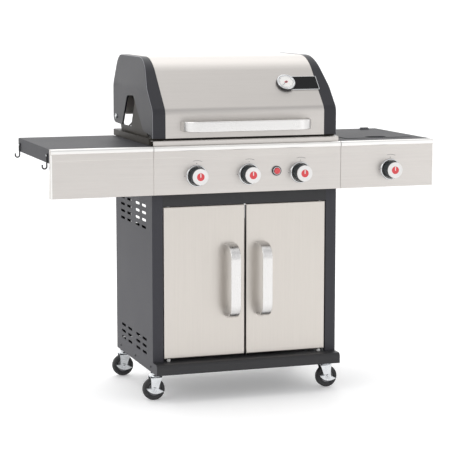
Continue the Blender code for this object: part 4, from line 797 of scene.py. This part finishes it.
def button(shape, place, axis, side, radius=0.0042, height=0.0022):
    """Domed screw head with a socket, standing out of a face along an axis."""
    dome = [(radius * math.cos(a), height * (0.25 + 0.75 * math.sin(a))) for a in
            np.linspace(0, math.radians(65), 6)]
    profile = [(0, 0), (radius, 0)] + dome
    rim = profile[-1]
    profile += [(rim[0] * 0.98, rim[1]), (rim[0] * 0.9, rim[1] * 0.35), (0, rim[1] * 0.35)]
    profile = [(r, side * (h + 0.00002)) for r, h in profile]
    shape.lathe(profile, place, axis, 20)


class GRILL_OT_doors(bpy.types.Operator):
    """Two pan-shaped steel doors with folded rear lips, a black strip that paints shade into the gap between
    them, pivot pins and nylon bushes
    """
    bl_idname = "grill.doors"
    bl_label = "Doors"

    def execute(self, context):
        front, back = DOOR_LOW[1], DOOR_HIGH[1]
        bottom, top, rim = DOOR_BOTTOM, DOOR_TOP, quarter_round(DOOR_FOLD, 6)
        for label, side in (("left", -1), ("right", 1)):
            x_range = sorted((side * DOOR_INNER, side * DOOR_OUTER))

            def ring(inset, y):
                return lifted(inset_box(x_range, (bottom, top), inset, 0.0012, 0.0002, 4), "Y", y)

            loops = [ring(SHEET, front + SHEET), ring(SHEET, back - SHEET), ring(DOOR_LIP, back - SHEET),
                     ring(DOOR_LIP, back)]
            loops += [ring(d, back - h) for d, h in rim] + [ring(d, front + h) for d, h in rim[::-1]]
            Shape().loft(loops).piece(f"{label}_door_pan", "door_steel", f"{label}_door", f"{label}_door")
            # Black strip on the right door's inner edge: painted shade in the gap between the doors.
            if label == "right":
                seal = box_outline((front + 0.0035, back - 0.0010), (bottom + 0.004, top - 0.004), 0.0008, 3)
                Shape().slab(seal, "X", x_range[0] - 0.0009, x_range[0] + 0.0008, 0.0003, 2).piece(
                    "right_door_shade_strip", "black_plastic", "right_door")
            pins, bushes = Shape(), Shape()
            place = (side * DOOR_PIN[0], DOOR_PIN[1], 0)
            for pin, bush in ((DOOR_TOP_PIN, DOOR_TOP_BUSH), (DOOR_LOW_PIN, DOOR_LOW_BUSH)):
                pins.lathe(pin, place, "Z", 24)
                bushes.lathe(bush, place, "Z", 24, closed=True)
            pins.piece(f"{label}_door_pins", "zinc", f"{label}_door")
            bushes.piece(f"{label}_door_bushes", "nylon", "cart")
        return {"FINISHED"}


# ---- panels and shelves ----
def panel_section(back_off=0.0):
    """Section of the front panels as (y, z): lower lip, face, raised bead and rolled top edge."""
    low, high = PANEL_LOW[2], PANEL_HIGH[2]
    bead = 0.0004
    face = rounded_path([(0.022, low), (0, low), (0, high - 0.0385), (-bead, high - 0.0365),
                         (-bead, high), (0.0140, high)], (0.002, 0.001, 0.001, 0.0085), 9)
    face[:, 0] += back_off
    return face


class GRILL_OT_panels(bpy.types.Operator):
    """Control panel, both fascias with their rolled edges in lighter steel as a painted highlight, and the
    strip over them
    """
    bl_idname = "grill.panels"
    bl_label = "Front panels"

    def execute(self, context):
        face, sunk = band(panel_section(), -SHEET), band(panel_section(0.0009), -SHEET)
        edge = 0.0010
        for node in ("control_panel", "left_fascia", "right_fascia"):
            low, high = limits(node)
            shape = Shape().loft([lifted(outline, "X", x) for outline, x in (
                (sunk, low[0] + 0.0001), (face, low[0] + edge), (face, high[0] - edge),
                (sunk, high[0] - 0.0001))])
            if node != "control_panel":
                end = low[0] if node == "left_fascia" else high[0]
                inner = end + (SHEET if node == "left_fascia" else -SHEET)
                outline = np.vstack([panel_section(0.0018), [(0.014, 0.800), (0.022, 0.7225)]])
                shape.along(outline, "X", sorted((end - np.sign(end) * 0.00005, inner)))
            shape.piece(node + "_sheet", "panel_steel", "cart", node)
            top = PANEL_HIGH[2]
            # Rolled edge and end strip in lighter steel: a painted highlight.
            roll = rounded_path([(y, top + z) for y, z in PANEL_ROLL], PANEL_ROLL_RADII, 8)
            rolls = Shape().along(band(roll, -0.0005), "X", (low[0] + edge, high[0] - edge))
            if node != "control_panel":
                strip = sorted((end, end - np.sign(end) * 0.0050))
                rolls.slab(box_outline(strip, (low[2] + 0.0010, top - 0.0175), 0.0010, 3), "Y",
                           -0.0013, 0.0002, 0.0003, 2)
            rolls.piece(node + "_roll", "bright_edge", "cart")
        smoothed("front_trim", "panel_steel")
        return {"FINISHED"}


def shelf_rings(node):
    """Loops of a shelf from its inner top down the skirt, round its hem and up to the outer top edge."""
    (x0, y0, low), (x1, y1, high) = limits(node)

    def ring(inset, z):
        return lifted(inset_box((x0, x1), (y0, y1), inset, SHELF_CORNER, 0.0003, 6), "Z", z)

    loops = [ring(SHEET, high - SHEET), ring(SHEET, low + 0.0004), ring(SHEET * 0.7, low),
             ring(SHEET * 0.3, low), ring(0, low + 0.0004)]
    return loops + [ring(d, high - h) for d, h in quarter_round(SHELF_FOLD, 6)[::-1]]


class GRILL_OT_shelves(bpy.types.Operator):
    """Folded shelf tops, the right one open over the side burner, and the tool hooks"""
    bl_idname = "grill.shelves"
    bl_label = "Shelves"

    def execute(self, context):
        Shape().loft(shelf_rings("left_shelf")).piece("left_shelf_top", "shelf_coat", "cart", "left_shelf")
        loops, top = shelf_rings("right_shelf"), limits("right_shelf")[1][2]

        def mouth(grow, z):
            return lifted(inset_box(*SIDE_MOUTH, -grow, 0.004, 0.0, 6), "Z", z)

        loops += [mouth(0.0030, top), mouth(0.0012, top - 0.0005), mouth(0, top - 0.0020),
                  mouth(0, top - 0.0055), mouth(0.0012, top - 0.0055), mouth(0.0030, top - SHEET)]
        Shape().loft(loops, ring=True).piece("right_shelf_top", "shelf_coat", "cart", "right_shelf")
        rivets = Shape()
        for node in ("front_hook", "rear_hook"):
            low, high = limits(node)
            y, x = (low[1] + high[1]) / 2, high[0] - 0.0025
            curve = arc((x - HOOK_BEND, HOOK_BEND_Z), HOOK_BEND, 0, -180, 17)
            route = np.vstack([[(x, 0.846)], [(x, 0.826)], curve, [(x - 2 * HOOK_BEND, 0.8120)]])
            route = respaced(route, np.linspace(0, 1, 44))
            path = np.stack([route[:, 0], np.full(len(route), y), route[:, 1]], 1)
            wire = Shape().tube(path, HOOK_WIRE).lathe(HOOK_FOOT, (x, y, HOOK_Z), "X", 28)
            wire.piece(node + "_wire", "frame_coat", "cart", node)
            button(rivets, (x - 0.0017, y, HOOK_Z), "X", -1, 0.0030, 0.0012)
        rivets.piece("hook_rivets", "zinc", "cart")
        return {"FINISHED"}


# ---- controls ----
class GRILL_OT_knobs(bpy.types.Operator):
    """Control knobs with light faces, red marks, dark grips, bright bezels and printed ticks"""
    bl_idname = "grill.knobs"
    bl_label = "Knobs"

    def execute(self, context):
        sizes = context.scene.grill_sizes
        radius, skirt = sizes.knob_radius, sizes.knob_radius + 0.002
        prints = Shape()
        for name, x in KNOB_X.items():
            place = (x, 0, KNOB_Z)
            # Grip: from the stem's bore along the back, over the skirt and up the side to the front.
            grip = [(0.0044, -0.0285), (0.0044, -0.0056), (skirt - 0.001, -0.0056), (skirt, -0.0066),
                    (skirt, -0.0135), (skirt - 0.0006, -0.0150), (radius - 0.0004, -0.0180),
                    (radius - 0.0007, -0.0395), (radius - 0.0016, -0.0405), (0, -0.0405), (0, -0.0285)]
            Shape().lathe(grip, place, "Y", 64).piece(f"{name}_knob_grip", "knob_side", name + "_knob",
                                                      name + "_knob")
            face = [(0, -0.0400), (radius - 0.0010, -0.0400), (radius, -0.0410), (radius, -0.0436),
                    (radius - 0.0008, -0.0448), (radius - 0.0024, -0.0450), (radius - 0.0036, -0.0444),
                    (0, -0.0441)]
            Shape().lathe(face, place, "Y", 64).piece(f"{name}_knob_face", "knob_face", name + "_knob")
            Shape().lathe(KNOB_MARK, place, "Y", 48).piece(f"{name}_knob_mark", "red_mark", name + "_knob")
            pointer = box_outline((x - 0.0016, x + 0.0016), (KNOB_Z - 0.0015, KNOB_Z + 0.0115), 0.0014, 5)
            Shape().slab(pointer, "Y", -0.0452, -0.0446, 0.0002, 2).piece(
                f"{name}_knob_pointer", "knob_face", name + "_knob")
            outer = sizes.bezel_radius
            dish = [(skirt + 0.0014, -0.0003), (skirt + 0.0014, -0.0020), (skirt + 0.0020, -0.0042),
                    (outer - 0.0036, -0.0052), (outer - 0.0016, -0.0048), (outer - 0.0004, -0.0034),
                    (outer, -0.0016), (outer, -0.0003)]
            Shape().lathe(dish, place, "Y", 72, closed=True).piece(f"{name}_bezel", "bezel", "cart")
            for degrees in (90, 180):
                a = math.radians(degrees)
                spot = (x + (outer + 0.0045) * math.cos(a), 0, KNOB_Z + (outer + 0.0045) * math.sin(a))
                prints.lathe([(0, -0.0001), (0.0014, -0.0001), (0.0014, 0.0003), (0, 0.0003)], spot, "Y", 12)
            sweep = arc((x, KNOB_Z), outer + 0.0135, 104, 68, 14)
            prints.along(band(sweep, 0.0011), "Y", (-0.0001, 0.0003))
            refinish(name + "_valve_stem", "zinc")
        prints.piece("panel_prints", "print", "cart")
        return {"FINISHED"}


class GRILL_OT_igniter(bpy.types.Operator):
    """Igniter collar, its light ring and the red push button"""
    bl_idname = "grill.igniter"
    bl_label = "Igniter"

    def execute(self, context):
        place = (IGNITER[0], 0, IGNITER[1])
        Shape().lathe(IGNITER_COLLAR, place, "Y", 48, closed=True).piece(
            "igniter_collar", "black_plastic", "cart", "igniter_housing")
        Shape().lathe(IGNITER_RING, place, "Y", 48, closed=True).piece("igniter_ring", "bezel", "cart")
        Shape().lathe(IGNITER_CAP, place, "Y", 48).piece(
            "igniter_cap", "red_button", "igniter_button", "igniter_button")
        return {"FINISHED"}


# ---- firebox ----
class GRILL_OT_firebox(bpy.types.Operator):
    """Firebox, grates, burners, flame tamers, warming rack and gas pipe"""
    bl_idname = "grill.firebox"
    bl_label = "Firebox"

    def execute(self, context):
        smoothed("firebox", "firebox")
        for node in ("left_cooking_grate", "right_cooking_grate"):
            smoothed(node, "iron", 0.0012)
        smoothed("warming_rack", "rack_wire", 0.0012)
        smoothed("gas_manifold", "brass")
        smoothed("grease_tray", "spangle")
        for number in (1, 2, 3):
            smoothed(f"burner_tube_{number}", "burner_steel")
            smoothed(f"flame_tamer_{number}", "burner_steel")
        return {"FINISHED"}


# ---- side burner ----
class GRILL_OT_side_burner(bpy.types.Operator):
    """Side burner's bowl, head, pan support and its cover with a finger hole"""
    bl_idname = "grill.side_burner"
    bl_label = "Side burner"

    def execute(self, context):
        smoothed("side_burner_bowl", "frame_coat")
        smoothed("side_burner_head", "iron")
        smoothed("side_burner_grate", "iron", 0.0010)
        low, high = limits("side_burner_lid")
        top, x_range, middle = COVER_TOP, (low[0], high[0]), (low[0] + high[0]) / 2
        fractions = np.linspace(0, 1, 96, endpoint=False)

        def even(outline, z):
            return lifted(respaced(np.vstack([outline, outline[:1]]), fractions), "Z", z)

        def ring(inset, z):
            return even(inset_box(x_range, COVER_Y, inset, 0.006, 0.0005, 8), z)

        def hole(grow, z):
            half, radius = COVER_HOLE
            return even(inset_box((middle - half, middle + half), COVER_HOLE_Y, -grow, radius, 0.0, 12), z)

        loops = [hole(0.0030, top - SHEET), hole(0.0014, top - 0.0024), hole(0.0014, top - 0.0075),
                 hole(0.0002, top - 0.0075), hole(0.0002, top - 0.0024), hole(0.0010, top - 0.0006),
                 hole(0.0026, top)]
        loops += [ring(d, top - h) for d, h in quarter_round(COVER_FOLD, 5)]
        loops += [ring(0, COVER_BOTTOM), ring(SHEET, COVER_BOTTOM), ring(SHEET, top - SHEET)]
        cover, pins = Shape().loft(loops, ring=True), Shape()
        pin_y, pin_z = COVER_PIN
        for side in (-1, 1):
            x = middle + side * COVER_HINGE_X
            strap = np.array([(pin_y - 0.013, top - 0.0007), (pin_y - 0.001, top - 0.0007),
                              (pin_y, pin_z - 0.002), (pin_y, pin_z + 0.002), (pin_y - 0.004, pin_z + 0.002),
                              (pin_y - 0.013, top + 0.0008)])
            cover.along(strap, "X", (x - 0.015, x + 0.015))
            cover.lathe(COVER_KNUCKLE, (x, pin_y, pin_z), "X", 24)
            pins.lathe([(0, -0.0185), (0.0026, -0.0185), (0.0026, 0.0185), (0, 0.0185)],
                       (x, pin_y, pin_z), "X", 20)
        cover.piece("side_cover", "shelf_coat", "side_burner_lid", "side_burner_lid")
        pins.piece("side_cover_pins", "zinc", "side_burner_lid")
        return {"FINISHED"}


# ---- casters ----
class GRILL_OT_casters(bpy.types.Operator):
    """Four swivel casters: pressed fork, bearing, axle, wheel and crescent brake"""
    bl_idname = "grill.casters"
    bl_label = "Casters"

    def execute(self, context):
        for name, (side, y) in WHEELS.items():
            axle_x = side * (CASTER_X + CASTER_TRAIL)
            self.fork(name, side * CASTER_X, axle_x, y)
            self.wheel(name, (axle_x, y, AXLE_Z))
            self.brake(name, axle_x, y)
        return {"FINISHED"}

    def fork(self, name, x, axle_x, y):
        """Pressed strip over the wheel: its path goes up one leg, over the crown and down the other, and
        its width eases from the crown's to a round end at the axle."""
        sheet, reach = FORK_SHEET, FORK_INSIDE + FORK_SHEET / 2
        path = rounded_path([(-reach, AXLE_Z - 0.0115), (-reach, FORK_CROWN), (reach, FORK_CROWN),
                             (reach, AXLE_Z - 0.0115)], (0.005, 0.005), 7)
        path = respaced(path, np.linspace(0, 1, 61))
        above = np.clip((path[:, 1] - AXLE_Z) / (0.0790 - AXLE_Z), 0, 1)
        below = np.clip((AXLE_Z - path[:, 1]) / 0.0125, 0, 1)
        half = (0.0130 + 0.0072 * above ** 1.6) * np.sqrt(1 - 0.98 * below ** 2)
        middle = axle_x + (x - axle_x) * above
        section = box_outline((-sheet / 2, sheet / 2), (-1, 1), 0.0011, 3)
        normal = offset(path, 1.0) - path
        flat = path[:, None] + normal[:, None] * section[None, :, :1]
        across = middle[:, None] + half[:, None] * section[None, :, 1]
        loops = np.stack([across, y + flat[..., 0], flat[..., 1]], -1)
        fork = Shape().loft(loops)
        fork.lathe(CASTER_RACE, (x, y, 0), "Z", 40)
        fork.lathe(CASTER_AXLE, (axle_x, y, AXLE_Z), "Y", 28)
        nut = arc((axle_x, AXLE_Z), NUT_RADIUS, 0, 300, 6)
        fork.slab(nut, "Y", y + 0.0177, y + 0.0215, 0.0004, 2)
        fork.piece(f"{name}_fork_sheet", "zinc", name + "_swivel", name + "_caster_fork")

    def wheel(self, name, place):
        """Turned tyre with a shallow tread groove, and a dished hub."""
        outer, half = TYRE_RADIUS, WHEEL_HALF
        tyre = [(0.0215, -half + 0.0018), (0.0260, -half + 0.0004), (outer - 0.0060, -half),
                (outer - 0.0026, -half + 0.0012), (outer - 0.0006, -half + 0.0042), (outer, -0.0062),
                (outer - 0.0006, -0.0058), (outer - 0.0006, -0.0050), (outer, -0.0046)]
        tyre += [(r, -h) for r, h in reversed(tyre)]
        Shape().lathe(tyre, place, "Y", 72, closed=True).piece(
            f"{name}_tyre", "tyre", name + "_wheel", name + "_caster_wheel")
        hub = [(0.0043, -half), (0.0078, -half), (0.0086, -half + 0.0012), (0.0095, -half + 0.0040),
               (0.0190, -half + 0.0046), (0.0206, -half + 0.0026), (0.0214, -half + 0.0024)]
        hub += [(r, -h) for r, h in reversed(hub)]
        Shape().lathe(hub, place, "Y", 48, closed=True).piece(f"{name}_hub", "hub", name + "_wheel")

    def brake(self, name, x, y):
        """Crescent plate on the axle with a bent wing at each tip."""
        face = y - FORK_INSIDE - FORK_SHEET - GAP
        c, s = math.cos(BRAKE_TILT), math.sin(BRAKE_TILT)
        lower = arc(BRAKE_CENTRE, BRAKE_RADIUS, 224, 316, 33)
        crescent = np.vstack([lower, rounded_path(BRAKE_TOP, BRAKE_RADII, 6)])
        rocker = Shape().slab(crescent, "Y", -SHEET, 0, 0.0004, 2)
        for side in (-1, 1):
            wing = BRAKE_WING * (side, 1)
            rocker.slab(wing if side < 0 else wing[::-1], "Y", -SHEET - 0.0078, -SHEET / 2, 0.0003, 2)
        rocker.lathe(BRAKE_BOSS, (0, 0, 0), "Y", 28, closed=True)
        turn = ((c, 0, s), (0, 1, 0), (-s, 0, c))
        rocker.moved(turn, (x, face, AXLE_Z)).piece(f"{name}_rocker", "zinc", name + "_brake",
                                               name + "_caster_brake")


# ---- stage ----
class GRILL_OT_stage(bpy.types.Operator):
    """Pale floor, soft studio lights, white surroundings and the camera"""
    bl_idname = "grill.stage"
    bl_label = "Stage"

    def execute(self, context):
        scene = context.scene
        s = Shader("floor")
        clouds = s.noise(s.place(), 0.6, detail=2.0)
        s.finish(Base_Color=s.blend(clouds, (0.90, 0.90, 0.90), (0.93, 0.93, 0.93)), Roughness=0.7,
                 Emission_Color=(1.0, 1.0, 1.0, 1.0), Emission_Strength=FLOOR_GLOW)
        rim = arc((0, 0), FLOOR_RADIUS, 0, 360, 97)[:-1]
        mesh = bpy.data.meshes.new("floor")
        mesh.from_pydata(lifted(rim, "Z", -0.0005).tolist(), [], [list(range(len(rim)))])
        mesh.materials.append(s.material)
        floor = bpy.data.objects.new("floor", mesh)
        scene.collection.objects.link(floor)
        for name, place, aim, size, power in LIGHTS:
            light = bpy.data.lights.new(name, "AREA")
            light.shape, light.size, light.size_y, light.energy = "RECTANGLE", size[0], size[1], power
            lamp = bpy.data.objects.new(name, light)
            lamp.location = place
            lamp.rotation_euler = (Vector(aim) - Vector(place)).to_track_quat("-Z", "Y").to_euler()
            scene.collection.objects.link(lamp)
        scene.world = self.surroundings()
        scene.view_settings.view_transform = "Standard"
        lens = bpy.data.cameras.new("camera")
        lens.lens, lens.sensor_width = CAMERA_LENS, 36.0
        lens.clip_start, lens.clip_end = 0.1, 200.0
        camera = bpy.data.objects.new("camera", lens)
        camera.location = CAMERA_PLACE
        camera.rotation_euler = (math.radians(90 - CAMERA_PITCH), 0, math.radians(-CAMERA_YAW))
        scene.collection.objects.link(camera)
        scene.camera = camera
        return {"FINISHED"}

    def surroundings(self):
        """White all round, but greyer high up in front, as a studio is above the camera."""
        s = Shader("surroundings", world=True)
        place = s.node("ShaderNodeTexCoord", output="Generated")
        y, z = (s.node("ShaderNodeSeparateXYZ", inputs={0: place}, output=i) for i in (1, 2))
        front = (y * -1.0).above(0.05, 0.5)
        high = z.above(0.15, 0.45) * (1 - z.above(0.90, 0.16))
        back = y.above(0.45, 0.9) + z.above(0.92, 0.12) * 0.4
        grey = s.blend(front * high, (1.0, 1.0, 1.0), (0.72, 0.72, 0.73))
        sky = s.node("ShaderNodeBackground", inputs={
            "Color": grey, "Strength": back * BACK_GLOW + WORLD_STRENGTH})
        out = s.tree.nodes.new("ShaderNodeOutputWorld")
        s.tree.links.new(sky.socket, out.inputs["Surface"])
        return s.material


CAMERA_PLACE = (-1.8680, -5.5568, 1.3530)
CAMERA_YAW, CAMERA_PITCH, CAMERA_LENS = 18.711, 7.760, 134.755
WORLD_STRENGTH, BACK_GLOW, FLOOR_GLOW, FLOOR_RADIUS = 1.0, 0.45, 0.22, 60.0
LIGHTS = (
    ("key", (-3.2, -1.6, 2.6), (0, 0, 0.6), (2.4, 2.4), 30.0),
    ("fill", (2.8, -3.2, 2.0), (0, 0, 0.6), (2.6, 2.6), 12.0),
    ("top", (0.2, 1.4, 3.4), (0, 0, 0.9), (3.0, 1.6), 10.0),
    ("rear", (0.6, 3.4, 2.2), (0, 0, 0.6), (2.6, 2.0), 6.0),
)


# ---- settings ----
def colour_property(label, text, value):
    """A colour that can be picked in the sidebar."""
    return bpy.props.FloatVectorProperty(name=label, description=text, subtype="COLOR", size=3, min=0.0,
                                         max=1.0, default=value)


class GrillColours(bpy.types.PropertyGroup):
    """Colours of the finishes."""
    steel: colour_property("Panel steel", "Stainless panels and hood", (0.610, 0.582, 0.556))
    door_steel: colour_property("Door steel", "Stainless doors", (0.610, 0.575, 0.535))
    handle_steel: colour_property("Handle steel", "Bow handles", (0.74, 0.73, 0.72))
    knob_face: colour_property("Knob faces", "Light front of the knobs", (0.74, 0.73, 0.72))
    red: colour_property("Red", "Knob marks and igniter button", (0.62, 0.035, 0.045))
    frame: colour_property("Frame", "Posts, rail and base", (0.026, 0.026, 0.028))
    side_panel: colour_property("Side panels", "Louvred side sheets", (0.040, 0.040, 0.047))
    shelf: colour_property("Shelves", "Shelf tops and side burner cover", (0.040, 0.040, 0.045))
    hood_caps: colour_property("Hood caps", "Enamelled ends of the hood", (0.034, 0.034, 0.039))
    firebox: colour_property("Firebox", "Enamelled bowl and rim", (0.030, 0.025, 0.019))


class GrillSizes(bpy.types.PropertyGroup):
    """Sizes of the small parts."""
    knob_radius: bpy.props.FloatProperty(
        name="Knob radius", description="Radius of a knob's face", default=0.027, min=0.02, max=0.03,
        unit="LENGTH")
    bezel_radius: bpy.props.FloatProperty(
        name="Bezel radius", description="Outer radius of the ring behind a knob", default=0.0365,
        min=0.032, max=0.04, unit="LENGTH")


PIECES = (GRILL_OT_stage, GRILL_OT_hood_skin, GRILL_OT_hood_caps, GRILL_OT_handles, GRILL_OT_thermometer,
          GRILL_OT_cabinet, GRILL_OT_doors, GRILL_OT_panels, GRILL_OT_shelves, GRILL_OT_knobs,
          GRILL_OT_igniter, GRILL_OT_firebox, GRILL_OT_side_burner, GRILL_OT_casters)


class GRILL_PT_panel(bpy.types.Panel):
    """Sidebar list of the grill's pieces"""
    bl_idname = "GRILL_PT_panel"
    bl_label = "Gas barbecue grill"
    bl_space_type = "VIEW_3D"
    bl_region_type = "UI"
    bl_category = "Grill"

    def draw(self, context):
        for group in (context.scene.grill_sizes, context.scene.grill_colours):
            for key in group.bl_rna.properties.keys():
                if key not in ("rna_type", "name"):
                    self.layout.prop(group, key)
        for piece in PIECES:
            self.layout.operator(piece.bl_idname)


CLASSES = (GrillColours, GrillSizes, *PIECES, GRILL_PT_panel)


def register():
    for each in CLASSES:
        bpy.utils.register_class(each)
    bpy.types.Scene.grill_colours = bpy.props.PointerProperty(type=GrillColours)
    bpy.types.Scene.grill_sizes = bpy.props.PointerProperty(type=GrillSizes)


def unregister():
    del bpy.types.Scene.grill_sizes
    del bpy.types.Scene.grill_colours
    for each in reversed(CLASSES):
        bpy.utils.unregister_class(each)


def main():
    """Register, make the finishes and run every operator."""
    register()
    add_finishes(bpy.context.scene.grill_colours)
    for piece in PIECES:
        area, name = piece.bl_idname.split(".")
        getattr(getattr(bpy.ops, area), name)()


if __name__ == "__main__":
    main()
